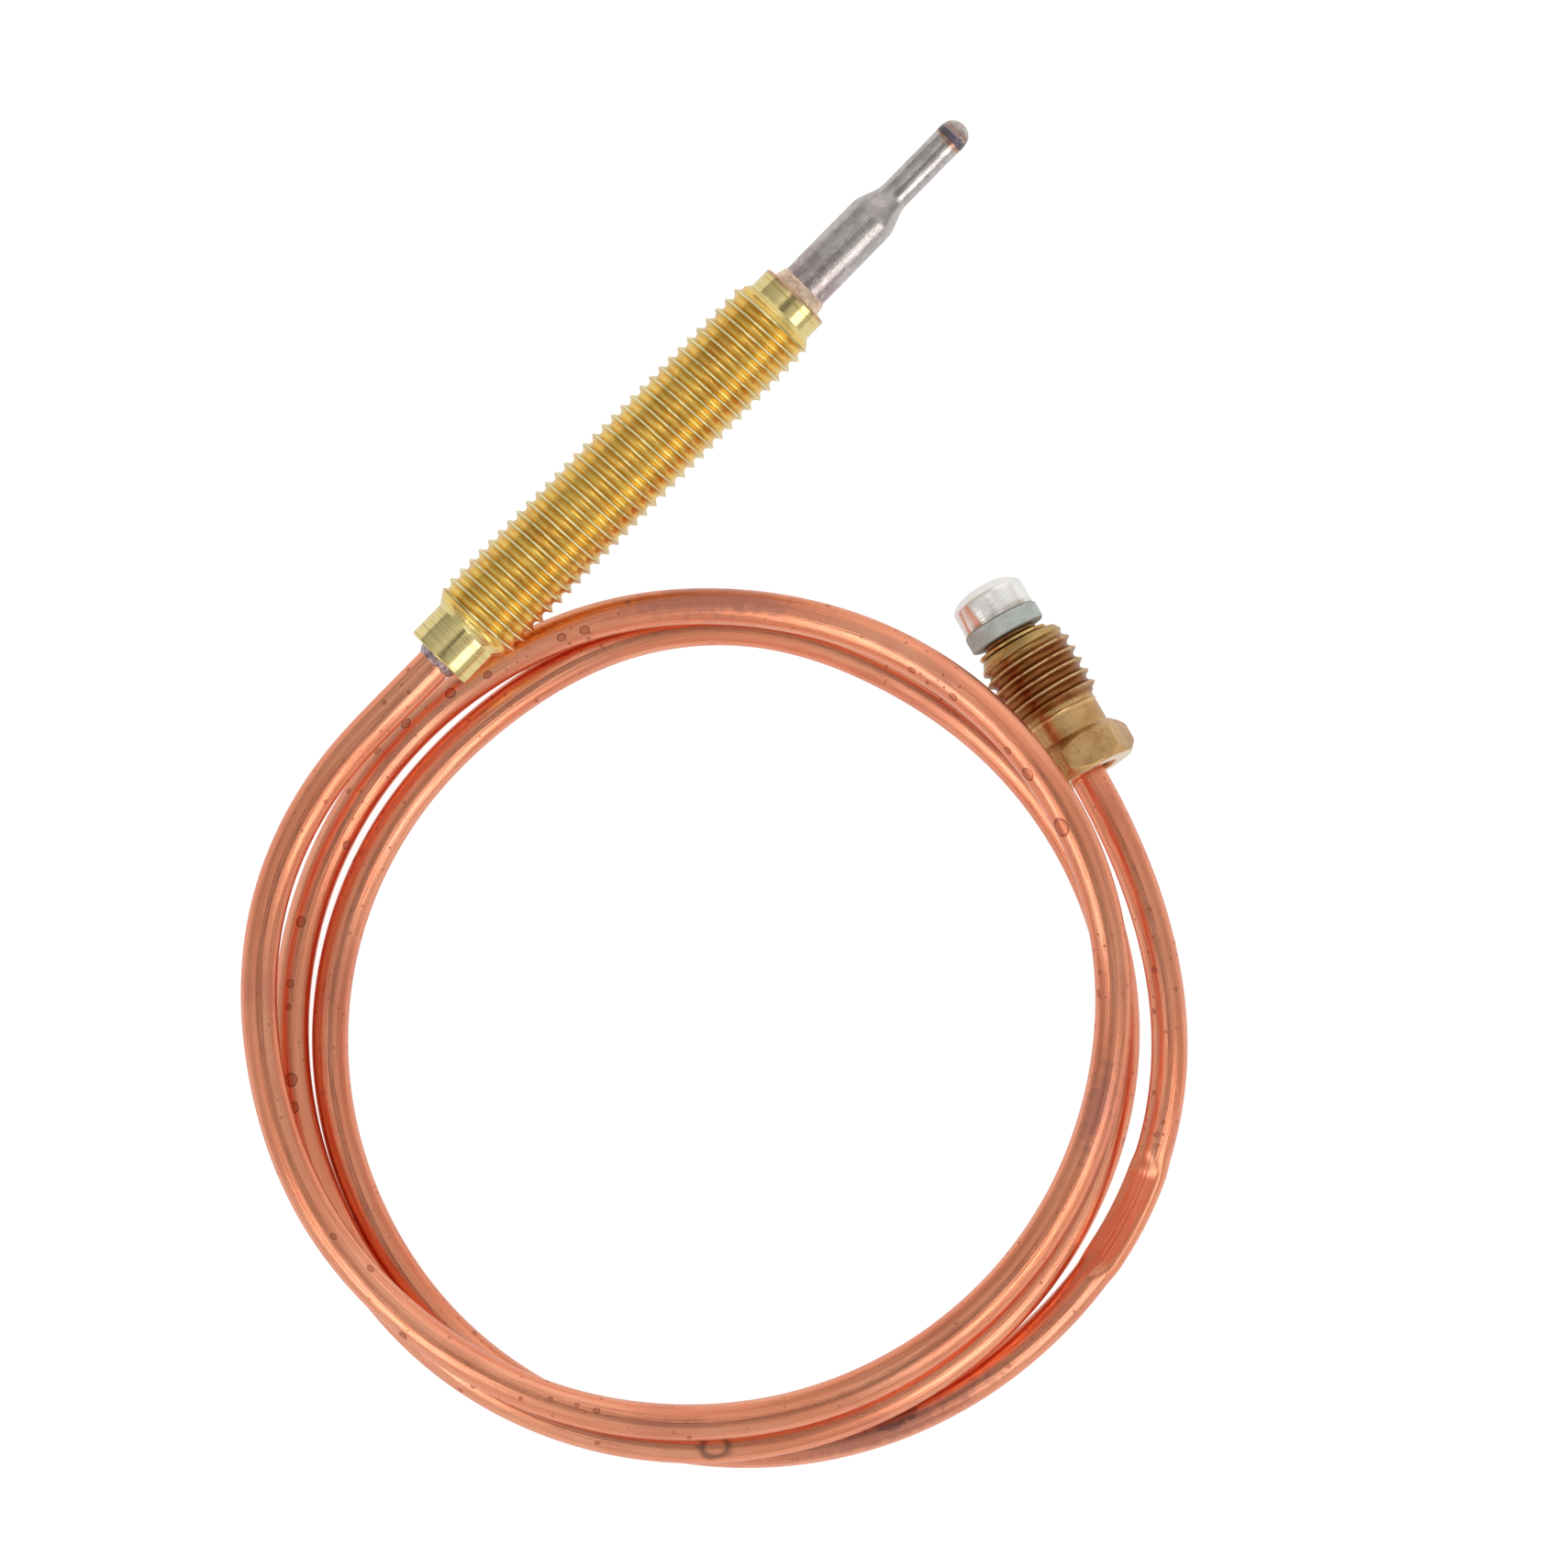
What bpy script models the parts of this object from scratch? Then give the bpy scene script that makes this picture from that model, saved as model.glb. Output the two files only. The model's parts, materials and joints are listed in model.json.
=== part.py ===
"""Thermocouple with a long threaded sleeve, a coiled copper lead and a union nut connector.

The +X axis runs along the probe, +Z is up and the origin is the centre of the head's
bounding box, on the sleeve's axis. The head lies level, 7 mm above the surface that the
coil rests on. Every length is in metres; MM turns a figure in millimetres into metres.
"""

import math

import bmesh
import bpy
import numpy as np
from mathutils import Vector

MM = 0.001

# Driving dimensions, in millimetres.
HEAD_LENGTH = 62.8           # sleeve's rear face to the tip of the probe
HEAD_CENTRE = 31.0           # origin, from the sleeve's rear face
HEAD_HEIGHT = 7.0            # sleeve's axis above the resting surface
THREAD_RADIUS = 4.0          # M8 crest, on the sleeve and on the nut
ROOT_RADIUS = 3.58
PITCH = 1.125
SLEEVE_LENGTH = 42.75
REAR_COLLAR = (3.12, 3.3)    # radius, length
FRONT_COLLAR = (3.2, 1.95)
THREAD_START = 4.6           # from the sleeve's rear face
THREAD_TURNS = 31
SHEATH_RADIUS = 2.12
SHEATH_START = 8.3
SHOULDER_START = 51.7        # where the sheath begins to neck down
SHOULDER_LENGTH = 2.9
TIP_RADIUS = 1.31
SHEATH_END = 61.0
LEAD_RADIUS = 1.5
SOLDER_RADIUS = 1.9          # solder ring on the sleeve's rear face
LEAD_INSERTION = 6.0         # lead inside the sleeve
WIRE_RADIUS = 0.4
CAP_RADIUS = 3.2
WASHER_RADIUS = 3.35
SLIP_RING = (5.3, 5.6)       # front and rear face, from the contact face
NUT_FRONT = 5.75             # nut's front face, from the contact face
NUT_THREAD = (6.6, 12.1)
HEX_START = 14.95
NUT_REAR = 18.3
HEX_ACROSS_FLATS = 8.0
HEX_TURN = 41.3              # degrees, the top corner's lean out of the coil
NUT_BORE = 2.15
NUT_OFFSET = 0.4             # the loose nut lies this far out of the lead's axis
SHANK_RADIUS = 3.35
LEAD_END = 5.5               # lead's end face, from the contact face
STRAIGHT_LEAD = 19.0         # end of the lead's straight run, from the contact face
GAP = 0.2                    # clearance between pieces that touch

# Coil: centre in X and Y, then the lead's route as (angle in degrees, radius, height).
COIL_CENTRE = (-36.2, -38.5)
COIL_ROUTE = [
    (100, 38.9, 6.5), (120, 39.4, 5.9), (140, 38.6, 5.65), (160, 37.55, 6.15),
    (180, 36.0, 7.1), (200, 34.6, 7.85), (220, 33.4, 8.1), (240, 32.6, 8.0),
    (260, 32.1, 8.0), (280, 32.0, 8.4), (300, 32.2, 9.3), (320, 32.8, 10.3),
    (340, 33.5, 11.25), (360, 34.2, 10.85), (380, 34.7, 8.6), (400, 35.0, 6.0),
    (420, 35.5, 4.1), (440, 35.75, 2.45), (460, 36.05, 1.7), (480, 36.3, 1.55),
    (500, 36.5, 1.75), (520, 36.7, 2.8), (540, 36.7, 3.85), (560, 36.25, 4.6),
    (580, 35.5, 4.8), (600, 34.75, 4.5), (620, 34.25, 3.7), (640, 33.95, 2.5),
    (660, 33.75, 1.7), (680, 33.5, 1.55), (700, 33.0, 1.55), (720, 32.65, 1.55),
    (740, 32.7, 1.55), (760, 33.35, 1.55), (780, 33.2, 1.55), (800, 32.45, 1.55),
    (820, 32.45, 1.55), (840, 32.8, 1.55), (860, 33.25, 1.55), (880, 33.8, 1.55),
    (900, 34.5, 1.55), (920, 35.15, 1.55), (940, 35.75, 1.55), (960, 36.45, 1.55),
    (980, 37.0, 1.6), (1000, 37.55, 2.4), (1015, 37.82, 3.7), (1030, 37.62, 5.0),
    (1045, 37.08, 5.9),
]
LEAD_POINTS = 80

# Connector: contact face's centre from the coil's centre, height, heading and slope.
CONTACT_OFFSET = (41.41, 10.23)
CONTACT_HEIGHT = 3.46
CONNECTOR_HEADING = math.radians(-106.0)
CONNECTOR_SLOPE = math.radians(7.0)

SEGMENTS = 32                # around the head's pieces
CONNECTOR_SEGMENTS = 28

COPPER = ("copper", (0.80, 0.40, 0.26), 0.32)
BRASS = ("brass", (0.78, 0.60, 0.22), 0.28)
DARK_BRASS = ("dark_brass", (0.42, 0.27, 0.12), 0.38)
SHEATH_STEEL = ("sheath_steel", (0.42, 0.39, 0.37), 0.35)
HEAT_TINTED = ("heat_tinted_steel", (0.22, 0.15, 0.13), 0.4)
SILVER_SOLDER = ("silver_solder", (0.72, 0.70, 0.68), 0.3)
COPPER_BRAZE = ("copper_braze", (0.62, 0.42, 0.28), 0.4)
TIN_PLATE = ("tin_plate", (0.80, 0.79, 0.76), 0.25)
CONSTANTAN = ("constantan", (0.60, 0.58, 0.52), 0.35)
WASHER_FIBRE = ("washer_fibre", (0.30, 0.34, 0.31), 0.7)
CERAMIC = ("ceramic", (0.85, 0.82, 0.74), 0.8)
GLASS_FIBRE = ("glass_fibre", (0.88, 0.87, 0.80), 0.9)
NON_METALS = {"washer_fibre", "ceramic", "glass_fibre"}


def clear_scene():
    for scene_object in list(bpy.data.objects):
        bpy.data.objects.remove(scene_object, do_unlink=True)


def new_collection(name):
    collection = bpy.data.collections.new(name)
    bpy.context.scene.collection.children.link(collection)
    return collection


def finish_material(finish):
    name, colour, roughness = finish
    material = bpy.data.materials.get(name)
    if material is None:
        material = bpy.data.materials.new(name)
        material.use_nodes = True
        shader = material.node_tree.nodes["Principled BSDF"]
        shader.inputs["Base Color"].default_value = (*colour, 1.0)
        shader.inputs["Roughness"].default_value = roughness
        shader.inputs["Metallic"].default_value = 0.0 if name in NON_METALS else 1.0
    return material


def add_empty(name, location, direction, collection):
    """An empty whose local +Z points along direction."""
    empty = bpy.data.objects.new(name, None)
    empty.location = location
    empty.rotation_euler = direction.to_track_quat("Z", "Y").to_euler()
    collection.objects.link(empty)
    return empty


def turned(name, outline, frame, collection, finish, segments=SEGMENTS, closed=True):
    """A turned piece: (height, radius) points from the top down, spun about local Z.

    A closed outline is a ring's section, its outer side first. An open outline starts
    and ends on the axis.
    """
    mesh = bpy.data.meshes.new(name)
    points = [(radius * MM, 0.0, height * MM) for height, radius in outline]
    edges = [(i, i + 1) for i in range(len(points) - 1)]
    if closed:
        edges.append((len(points) - 1, 0))
    mesh.from_pydata(points, edges, [])
    piece = bpy.data.objects.new(name, mesh)
    screw = piece.modifiers.new("turn", "SCREW")
    screw.axis = "Z"
    screw.steps = segments
    screw.render_steps = segments
    screw.use_smooth_shade = True
    screw.use_merge_vertices = True
    screw.merge_threshold = 0.000005
    piece.parent = frame
    mesh.materials.append(finish_material(finish))
    collection.objects.link(piece)
    return piece


def tube_outline(top, bottom, outer, inner):
    return [(top, outer), (bottom, outer), (bottom, inner), (top, inner)]


def rod_outline(top, bottom, radius):
    return [(top, 0.0), (top, radius), (bottom, radius), (bottom, 0.0)]


def ridges(top, bottom, pitch, crest, root):
    """Outline of V-shaped ridges from top down, with a root at both ends."""
    count = round((top - bottom) / pitch)
    step = (top - bottom) / count
    outline = [(top, root)]
    for i in range(count):
        outline.append((top - (i + 0.5) * step, crest))
        outline.append((top - (i + 1) * step, root))
    return outline


def arc_outline(centre, radius, start, end, count):
    """Points on an arc about a centre on the axis; 90 degrees is the top pole."""
    angles = [math.radians(start + (end - start) * i / count) for i in range(count + 1)]
    return [(centre + radius * math.sin(a), radius * math.cos(a)) for a in angles]


def shoulder_outline(outer, inner, count=6):
    """The swaged neck, an eased step from outer down to inner radius, tip side first."""
    outline = []
    for i in range(count + 1):
        share = i / count
        eased = share * share * (3.0 - 2.0 * share)
        height = SHOULDER_START + SHOULDER_LENGTH * (1.0 - share)
        outline.append((height, inner + (outer - inner) * eased))
    return outline


def make_sleeve(head, parts):
    thread_end = THREAD_START + THREAD_TURNS * PITCH
    front_radius, front_length = FRONT_COLLAR
    rear_radius, rear_length = REAR_COLLAR
    bevel = 0.15
    countersink = 0.3
    front_bore = SHEATH_RADIUS + GAP
    rear_bore = LEAD_RADIUS + GAP
    outline = [(SLEEVE_LENGTH, front_radius - bevel), (SLEEVE_LENGTH - bevel, front_radius)]
    outline.append((SLEEVE_LENGTH - front_length, front_radius))
    outline += ridges(thread_end, THREAD_START, PITCH, THREAD_RADIUS, ROOT_RADIUS)
    outline += [(rear_length, rear_radius), (bevel, rear_radius), (0.0, rear_radius - bevel)]
    outline += [(0.0, SOLDER_RADIUS + GAP), (countersink, rear_bore), (SHEATH_START - GAP, rear_bore)]
    outline += [(SHEATH_START - GAP, front_bore), (SLEEVE_LENGTH, front_bore)]
    turned("threaded_sleeve", outline, head, parts, BRASS)


def make_probe(head, parts):
    wall = 0.5
    tip_bore = 0.85
    outline = [(SHEATH_END, TIP_RADIUS)] + shoulder_outline(SHEATH_RADIUS, TIP_RADIUS)
    outline.append((SHEATH_START, SHEATH_RADIUS))
    inner = shoulder_outline(SHEATH_RADIUS - wall, tip_bore)
    outline += [(SHEATH_START, SHEATH_RADIUS - wall)] + inner[::-1] + [(SHEATH_END, tip_bore)]
    turned("probe_sheath", outline, head, parts, SHEATH_STEEL)

    bead_base = SHEATH_END + GAP
    dome = TIP_RADIUS + 0.02
    bead = arc_outline(HEAD_LENGTH - dome, dome, 90, 0, 8)
    bead[0] = (HEAD_LENGTH, 0.0)
    bead += [(bead_base, dome), (bead_base, 0.0)]
    turned("hot_junction_bead", bead, head, parts, HEAT_TINTED, closed=False)

    weld_centre, weld_radius = 15.2, 0.8
    weld = arc_outline(weld_centre, weld_radius, 90, -90, 10)
    weld[0] = (weld_centre + weld_radius, 0.0)
    weld[-1] = (weld_centre - weld_radius, 0.0)
    turned("cold_junction_weld", weld, head, parts, SILVER_SOLDER, 16, closed=False)

    wire_start = weld_centre + weld_radius + GAP
    wire = rod_outline(SHEATH_END - GAP, wire_start, WIRE_RADIUS)
    turned("constantan_wire", wire, head, parts, CONSTANTAN, 12, closed=False)

    core_end = weld_centre - weld_radius - GAP
    core = rod_outline(core_end, LEAD_INSERTION + GAP, WIRE_RADIUS)
    turned("core_wire_head_end", core, head, parts, COPPER, 12, closed=False)


def make_head_insulation(head, parts):
    bore = WIRE_RADIUS + GAP
    split = 34.0
    rear = tube_outline(split, 17.5, 1.4, bore)
    front = tube_outline(SHOULDER_START - 0.5, split + GAP, 1.4, bore)
    core = tube_outline(12.5, LEAD_INSERTION + GAP, 1.2, bore)
    turned("ceramic_tube_rear", rear, head, parts, CERAMIC, 16)
    turned("ceramic_tube_front", front, head, parts, CERAMIC, 16)
    turned("core_insulation_head_end", core, head, parts, GLASS_FIBRE, 16)


def make_head_joints(head, parts):
    """The brazed fillet in front of the sleeve and the solder ring behind it."""
    base = SLEEVE_LENGTH + GAP
    bore = SHEATH_RADIUS + GAP
    fillet = [(base + 0.95, bore + 0.12), (base + 0.4, bore + 0.25), (base, bore + 0.4), (base, bore)]
    fillet.append((base + 0.95, bore))
    turned("front_braze_fillet", fillet, head, parts, COPPER_BRAZE)
    ring = tube_outline(-GAP, 2 * HEAD_CENTRE - HEAD_LENGTH, SOLDER_RADIUS, LEAD_RADIUS + GAP)
    turned("rear_solder_ring", ring, head, parts, SILVER_SOLDER)


def make_contact(connector, parts):
    """The fixed end of the connector: contact cap, washer, ferrule and core."""
    cap_rear = -3.0
    wall, wire_hole = 0.7, 0.9
    outline = [(0.0, 1.95), (-0.25, 2.4), (-0.65, 2.8), (-1.15, 3.1), (-1.5, CAP_RADIUS)]
    outline += [(cap_rear, CAP_RADIUS), (cap_rear, 2.6), (-wall, 2.6), (-wall, wire_hole)]
    outline.append((0.0, wire_hole))
    turned("contact_cap", outline, connector, parts, TIN_PLATE, CONNECTOR_SEGMENTS)

    solder_radius = wire_hole - GAP
    solder = [(0.0, 0.0), (0.0, solder_radius - 0.1), (-0.1, solder_radius)]
    solder += [(-0.6, solder_radius), (-0.6, 0.0)]
    turned("contact_solder", solder, connector, parts, SILVER_SOLDER, 16, closed=False)

    washer_front, washer_rear, bevel = cap_rear - GAP, -4.7, 0.15
    hole = 0.95
    washer = [(washer_front, WASHER_RADIUS - bevel), (washer_front - bevel, WASHER_RADIUS)]
    washer += [(washer_rear + bevel, WASHER_RADIUS), (washer_rear, WASHER_RADIUS - bevel)]
    washer += [(washer_rear, hole), (washer_front, hole)]
    turned("insulating_washer", washer, connector, parts, WASHER_FIBRE, CONNECTOR_SEGMENTS)

    flange_front = washer_rear - GAP
    flange_rear, flange_radius = flange_front - 0.2, 2.4
    hub_rear, hub_radius = -6.6, 1.95
    seat = -LEAD_END + GAP
    ferrule = [(flange_front, flange_radius), (flange_rear, flange_radius)]
    ferrule += [(flange_rear, hub_radius), (hub_rear, hub_radius)]
    ferrule += [(hub_rear, LEAD_RADIUS + 0.15), (seat, LEAD_RADIUS + 0.15), (seat, hole)]
    ferrule.append((flange_front, hole))
    turned("lead_ferrule", ferrule, connector, parts, DARK_BRASS, CONNECTOR_SEGMENTS)

    wire = rod_outline(-0.8, -LEAD_END + GAP, WIRE_RADIUS)
    turned("core_wire_contact_end", wire, connector, parts, COPPER, 12, closed=False)
    sleeve = tube_outline(-2.0, -LEAD_END + GAP, 0.8, WIRE_RADIUS + 0.15)
    turned("core_insulation_contact_end", sleeve, connector, parts, GLASS_FIBRE, 12)


def make_slip_ring(connector, parts):
    front, rear = SLIP_RING
    ring = tube_outline(-front, -rear, 3.15, 2.15)
    turned("slip_ring", ring, connector, parts, BRASS, CONNECTOR_SEGMENTS)


def make_hexagon(nut_frame, cutters):
    """The nut's hexagon, with both rims chamfered by a turned body."""
    height = NUT_REAR - HEX_START
    corner = HEX_ACROSS_FLATS / 2 / math.cos(math.pi / 6)
    mesh = bpy.data.meshes.new("nut_hexagon")
    shape = bmesh.new()
    bmesh.ops.create_cone(shape, cap_ends=True, segments=6, radius1=corner * MM,
                          radius2=corner * MM, depth=height * MM)
    shape.to_mesh(mesh)
    shape.free()
    hexagon = bpy.data.objects.new("nut_hexagon", mesh)
    hexagon.parent = nut_frame
    hexagon.location = (0.0, 0.0, -(HEX_START + NUT_REAR) / 2 * MM)
    hexagon.rotation_euler = (0.0, 0.0, math.radians(HEX_TURN))
    cutters.objects.link(hexagon)

    rim, wide = HEX_ACROSS_FLATS / 2 - 0.05, corner + 0.05
    chamfer = [(-HEX_START, 0.0), (-HEX_START, rim), (-HEX_START - 0.95, wide)]
    chamfer += [(-NUT_REAR + 0.4, wide), (-NUT_REAR, rim), (-NUT_REAR, 0.0)]
    body = turned("hexagon_chamfer", chamfer, nut_frame, cutters, DARK_BRASS, closed=False)
    add_boolean(hexagon, body, "INTERSECT")
    return hexagon


def add_boolean(piece, other, operation):
    boolean = piece.modifiers.new(operation.lower(), "BOOLEAN")
    boolean.operation = operation
    boolean.solver = "EXACT"
    boolean.object = other


def make_nut(nut_frame, parts, cutters):
    thread_front, thread_rear = NUT_THREAD
    core_end = NUT_REAR - 0.4
    outline = [(-NUT_FRONT, 0.0), (-NUT_FRONT, 3.3), (-NUT_FRONT - 0.35, 3.72)]
    outline += ridges(-thread_front, -thread_rear, PITCH, THREAD_RADIUS, ROOT_RADIUS)
    outline += [(-thread_rear - 0.3, SHANK_RADIUS), (-core_end, SHANK_RADIUS), (-core_end, 0.0)]
    nut = turned("union_nut", outline, nut_frame, parts, DARK_BRASS, CONNECTOR_SEGMENTS,
                 closed=False)

    counterbore_end, counterbore = 8.0, 2.5
    margin = 1.0
    bore = [(-NUT_FRONT + margin, 0.0), (-NUT_FRONT + margin, counterbore)]
    bore += [(-counterbore_end, counterbore), (-counterbore_end, NUT_BORE)]
    bore += [(-NUT_REAR - margin, NUT_BORE), (-NUT_REAR - margin, 0.0)]
    cutter = turned("nut_bore", bore, nut_frame, cutters, DARK_BRASS, closed=False)
    add_boolean(nut, make_hexagon(nut_frame, cutters), "UNION")
    add_boolean(nut, cutter, "DIFFERENCE")


def smooth_curve(route, count):
    """Natural cubic spline through the route's points, at count even steps of length."""
    points = np.array(route)
    spans = np.linalg.norm(np.diff(points, axis=0), axis=1)
    knots = np.concatenate(([0.0], np.cumsum(spans)))
    last = len(points) - 1
    system = np.eye(last + 1)
    slopes = np.diff(points, axis=0) / spans[:, None]
    target = np.zeros_like(points)
    for i in range(1, last):
        system[i, i - 1:i + 2] = (spans[i - 1], 2 * (spans[i - 1] + spans[i]), spans[i])
        target[i] = 6 * (slopes[i] - slopes[i - 1])
    bends = np.linalg.solve(system, target)
    fine = []
    for place in np.linspace(0.0, knots[-1], 40 * last):
        i = min(max(int(np.searchsorted(knots, place)) - 1, 0), last - 1)
        after, before, span = knots[i + 1] - place, place - knots[i], spans[i]
        fine.append((bends[i] * after ** 3 + bends[i + 1] * before ** 3) / (6 * span)
                    + (points[i] / span - bends[i] * span / 6) * after
                    + (points[i + 1] / span - bends[i + 1] * span / 6) * before)
    fine = np.array(fine)
    steps = np.linalg.norm(np.diff(fine, axis=0), axis=1)
    lengths = np.concatenate(([0.0], np.cumsum(steps)))
    even = np.linspace(0.0, lengths[-1], count)
    return np.column_stack([np.interp(even, lengths, fine[:, k]) for k in range(3)])


def lead_route(sleeve_rear, contact_face, connector_axis):
    """The lead's own points: out of the sleeve, round the coil and into the ferrule."""
    along_head = Vector((1.0, 0.0, 0.0))
    route = [sleeve_rear + along_head * s * MM for s in (LEAD_INSERTION, 2.0, -2.0, -5.0)]
    for angle, radius, height in COIL_ROUTE:
        turn = math.radians(angle)
        route.append(Vector(((COIL_CENTRE[0] + radius * math.cos(turn)) * MM,
                             (COIL_CENTRE[1] + radius * math.sin(turn)) * MM,
                             (height - HEAD_HEIGHT) * MM)))
    straight = np.linspace(STRAIGHT_LEAD, LEAD_END, 5)
    route += [contact_face + connector_axis * float(s) * MM for s in straight]
    return [tuple(point) for point in route]


def make_lead(route, parts):
    curve = bpy.data.curves.new("copper_lead", "CURVE")
    curve.dimensions = "3D"
    curve.bevel_depth = LEAD_RADIUS * MM
    curve.bevel_resolution = 2
    curve.use_fill_caps = True
    points = smooth_curve(route, LEAD_POINTS)
    spline = curve.splines.new("POLY")
    spline.points.add(len(points) - 1)
    for spline_point, point in zip(spline.points, points):
        spline_point.co = (*point, 1.0)
    curve.materials.append(finish_material(COPPER))
    parts.objects.link(bpy.data.objects.new("copper_lead", curve))


def main():
    clear_scene()
    parts = new_collection("thermocouple")
    cutters = new_collection("cutters")

    sleeve_rear = Vector((-HEAD_CENTRE * MM, 0.0, 0.0))
    head = add_empty("head_frame", sleeve_rear, Vector((1.0, 0.0, 0.0)), parts)
    make_sleeve(head, parts)
    make_probe(head, parts)
    make_head_insulation(head, parts)
    make_head_joints(head, parts)

    contact_face = Vector(((COIL_CENTRE[0] + CONTACT_OFFSET[0]) * MM,
                           (COIL_CENTRE[1] + CONTACT_OFFSET[1]) * MM,
                           (CONTACT_HEIGHT - HEAD_HEIGHT) * MM))
    level = math.cos(CONNECTOR_SLOPE)
    axis = Vector((level * math.cos(CONNECTOR_HEADING), level * math.sin(CONNECTOR_HEADING),
                   math.sin(CONNECTOR_SLOPE)))
    connector = add_empty("connector_frame", contact_face, -axis, parts)
    make_contact(connector, parts)
    make_slip_ring(connector, parts)
    out_of_coil = Vector((-axis.y, axis.x, 0.0)).normalized()
    nut_centre = contact_face + out_of_coil * NUT_OFFSET * MM
    make_nut(add_empty("nut_frame", nut_centre, -axis, parts), parts, cutters)
    make_lead(lead_route(sleeve_rear, contact_face, axis), parts)

    for cutter in cutters.objects:
        cutter.hide_render = True
        cutter.display_type = "WIRE"


main()
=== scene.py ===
"""The looks of a thermocouple: camera, light, fine geometry and materials around the CAD model.

Outlines and routes are in millimetres, and MM turns them into metres. A turned piece has a
frame whose Z runs along its axis: forward to the probe's tip on the head, and out of the
contact face on the connector. Colours are linear RGB.
"""

import json
import math

import bmesh
import bpy
import numpy as np
from mathutils import Matrix, Vector, noise


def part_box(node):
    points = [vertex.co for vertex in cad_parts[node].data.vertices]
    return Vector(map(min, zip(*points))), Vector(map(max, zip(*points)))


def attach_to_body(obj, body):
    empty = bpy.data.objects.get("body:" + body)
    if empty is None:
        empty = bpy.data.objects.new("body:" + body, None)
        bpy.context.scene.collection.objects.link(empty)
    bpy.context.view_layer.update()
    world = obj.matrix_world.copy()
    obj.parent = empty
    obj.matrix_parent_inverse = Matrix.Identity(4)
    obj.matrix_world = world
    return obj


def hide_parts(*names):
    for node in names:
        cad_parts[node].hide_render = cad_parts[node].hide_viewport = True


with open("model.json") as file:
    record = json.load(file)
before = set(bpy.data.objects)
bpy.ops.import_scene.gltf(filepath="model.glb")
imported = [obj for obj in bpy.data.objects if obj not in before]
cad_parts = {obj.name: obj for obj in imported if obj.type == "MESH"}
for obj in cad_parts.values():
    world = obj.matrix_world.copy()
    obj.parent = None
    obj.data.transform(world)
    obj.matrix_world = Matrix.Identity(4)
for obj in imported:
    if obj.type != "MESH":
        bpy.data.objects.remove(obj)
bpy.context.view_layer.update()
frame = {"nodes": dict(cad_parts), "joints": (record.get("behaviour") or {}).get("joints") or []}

MM = 0.001
FIXED, LOOSE, TURNING = "thermocouple", "loose_ring", "nut"   # the CAD bodies

# Head, heights from the sleeve's rear face.
SLEEVE_LENGTH = 42.75
THREAD_RADIUS, ROOT_RADIUS, PITCH = 4.05, 3.58, 1.132
REAR_COLLAR = (3.12, 3.3)      # radius, height of its front end
FRONT_COLLAR = (3.22, 40.8)    # radius, height of its rear end
SHEATH_RADIUS, TIP_RADIUS = 2.12, 1.31
SHEATH_START, SHEATH_END = 8.3, 61.0
SHOULDER = (51.7, 54.6)
HEAD_LENGTH = 62.8

# Connector, depths behind the contact face.
CAP_DEPTH, CAP_RADIUS = 3.0, 3.2
WASHER = (3.2, 4.7, 3.35)      # front, rear, radius
SLIP_RING = (5.3, 5.6)         # front, rear
NUT_FRONT, NUT_THREAD_END, HEX_START, NUT_REAR = 5.75, 12.3, 14.95, 18.3
FULL_THREAD = (7.0, 11.7)      # where the nut's thread has its whole height
SHANK_LINE = 12.8              # a fine raised line round the nut's shank
NUT_PITCH = 1.1
HEX_ACROSS_FLATS = 8.0
HEX_TURN = 41.3                # degrees, the top corner's lean out of the coil
SHANK_RADIUS = 3.35
LEAD_END = 5.5

# The lead's route, as in the CAD model.
LEAD_LENGTH, LEAD_RADIUS = 0.6227, 1.53
RESTING_HEIGHT = -7.0          # the surface that the coil lies on
COIL_CENTRE = (-36.2, -38.5)
COIL_ROUTE = [                 # angle in degrees, radius, height above the surface
    (100, 38.9, 6.5), (120, 39.4, 5.9), (140, 38.6, 5.65), (160, 37.55, 6.15),
    (180, 36.0, 7.1), (200, 34.6, 7.85), (220, 33.4, 8.1), (240, 32.6, 8.0),
    (260, 32.1, 8.0), (280, 32.0, 8.4), (300, 32.2, 9.3), (320, 32.8, 10.3),
    (340, 33.5, 11.25), (360, 34.2, 10.85), (380, 34.7, 8.6), (400, 35.0, 6.0),
    (420, 35.5, 4.1), (440, 35.75, 2.45), (460, 36.05, 1.7), (480, 36.3, 1.55),
    (500, 36.5, 1.75), (520, 36.7, 2.8), (540, 36.7, 3.85), (560, 36.25, 4.6),
    (580, 35.5, 4.8), (600, 34.75, 4.5), (620, 34.25, 3.7), (640, 33.95, 2.5),
    (660, 33.75, 1.7), (680, 33.5, 1.55), (700, 33.0, 1.55), (720, 32.65, 1.55),
    (740, 32.7, 1.55), (760, 33.35, 1.55), (780, 33.2, 1.55), (800, 32.45, 1.55),
    (820, 32.45, 1.55), (840, 32.8, 1.55), (860, 33.25, 1.55), (880, 33.8, 1.55),
    (900, 34.5, 1.55), (920, 35.15, 1.55), (940, 35.75, 1.55), (960, 36.45, 1.55),
    (980, 37.0, 1.6), (1000, 37.55, 2.4), (1015, 37.82, 3.7), (1030, 37.62, 5.0),
    (1045, 37.08, 5.9),
]
LEAD_INSERTION = 6.0           # lead inside the sleeve
STRAIGHT_LEAD = 19.0           # end of the lead's straight run behind the contact face
LEAD_RING_STEP = 0.4
LEAD_SIDES = 48

# View: straight down on the object, turned so that the head points up to the right.
VIEW_CENTRE = (-18.2, -28.0)
VIEW_WIDTH, VIEW_HEIGHT = 131.5, 1000.0
VIEW_TURN = -45.5              # degrees
SENSOR_WIDTH = 36.0

SEGMENTS = 120                 # around a turned piece
SHARP_ANGLE = math.radians(32)
SAME_PLACE = 0.0000005         # metres, vertices this close are one


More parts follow.
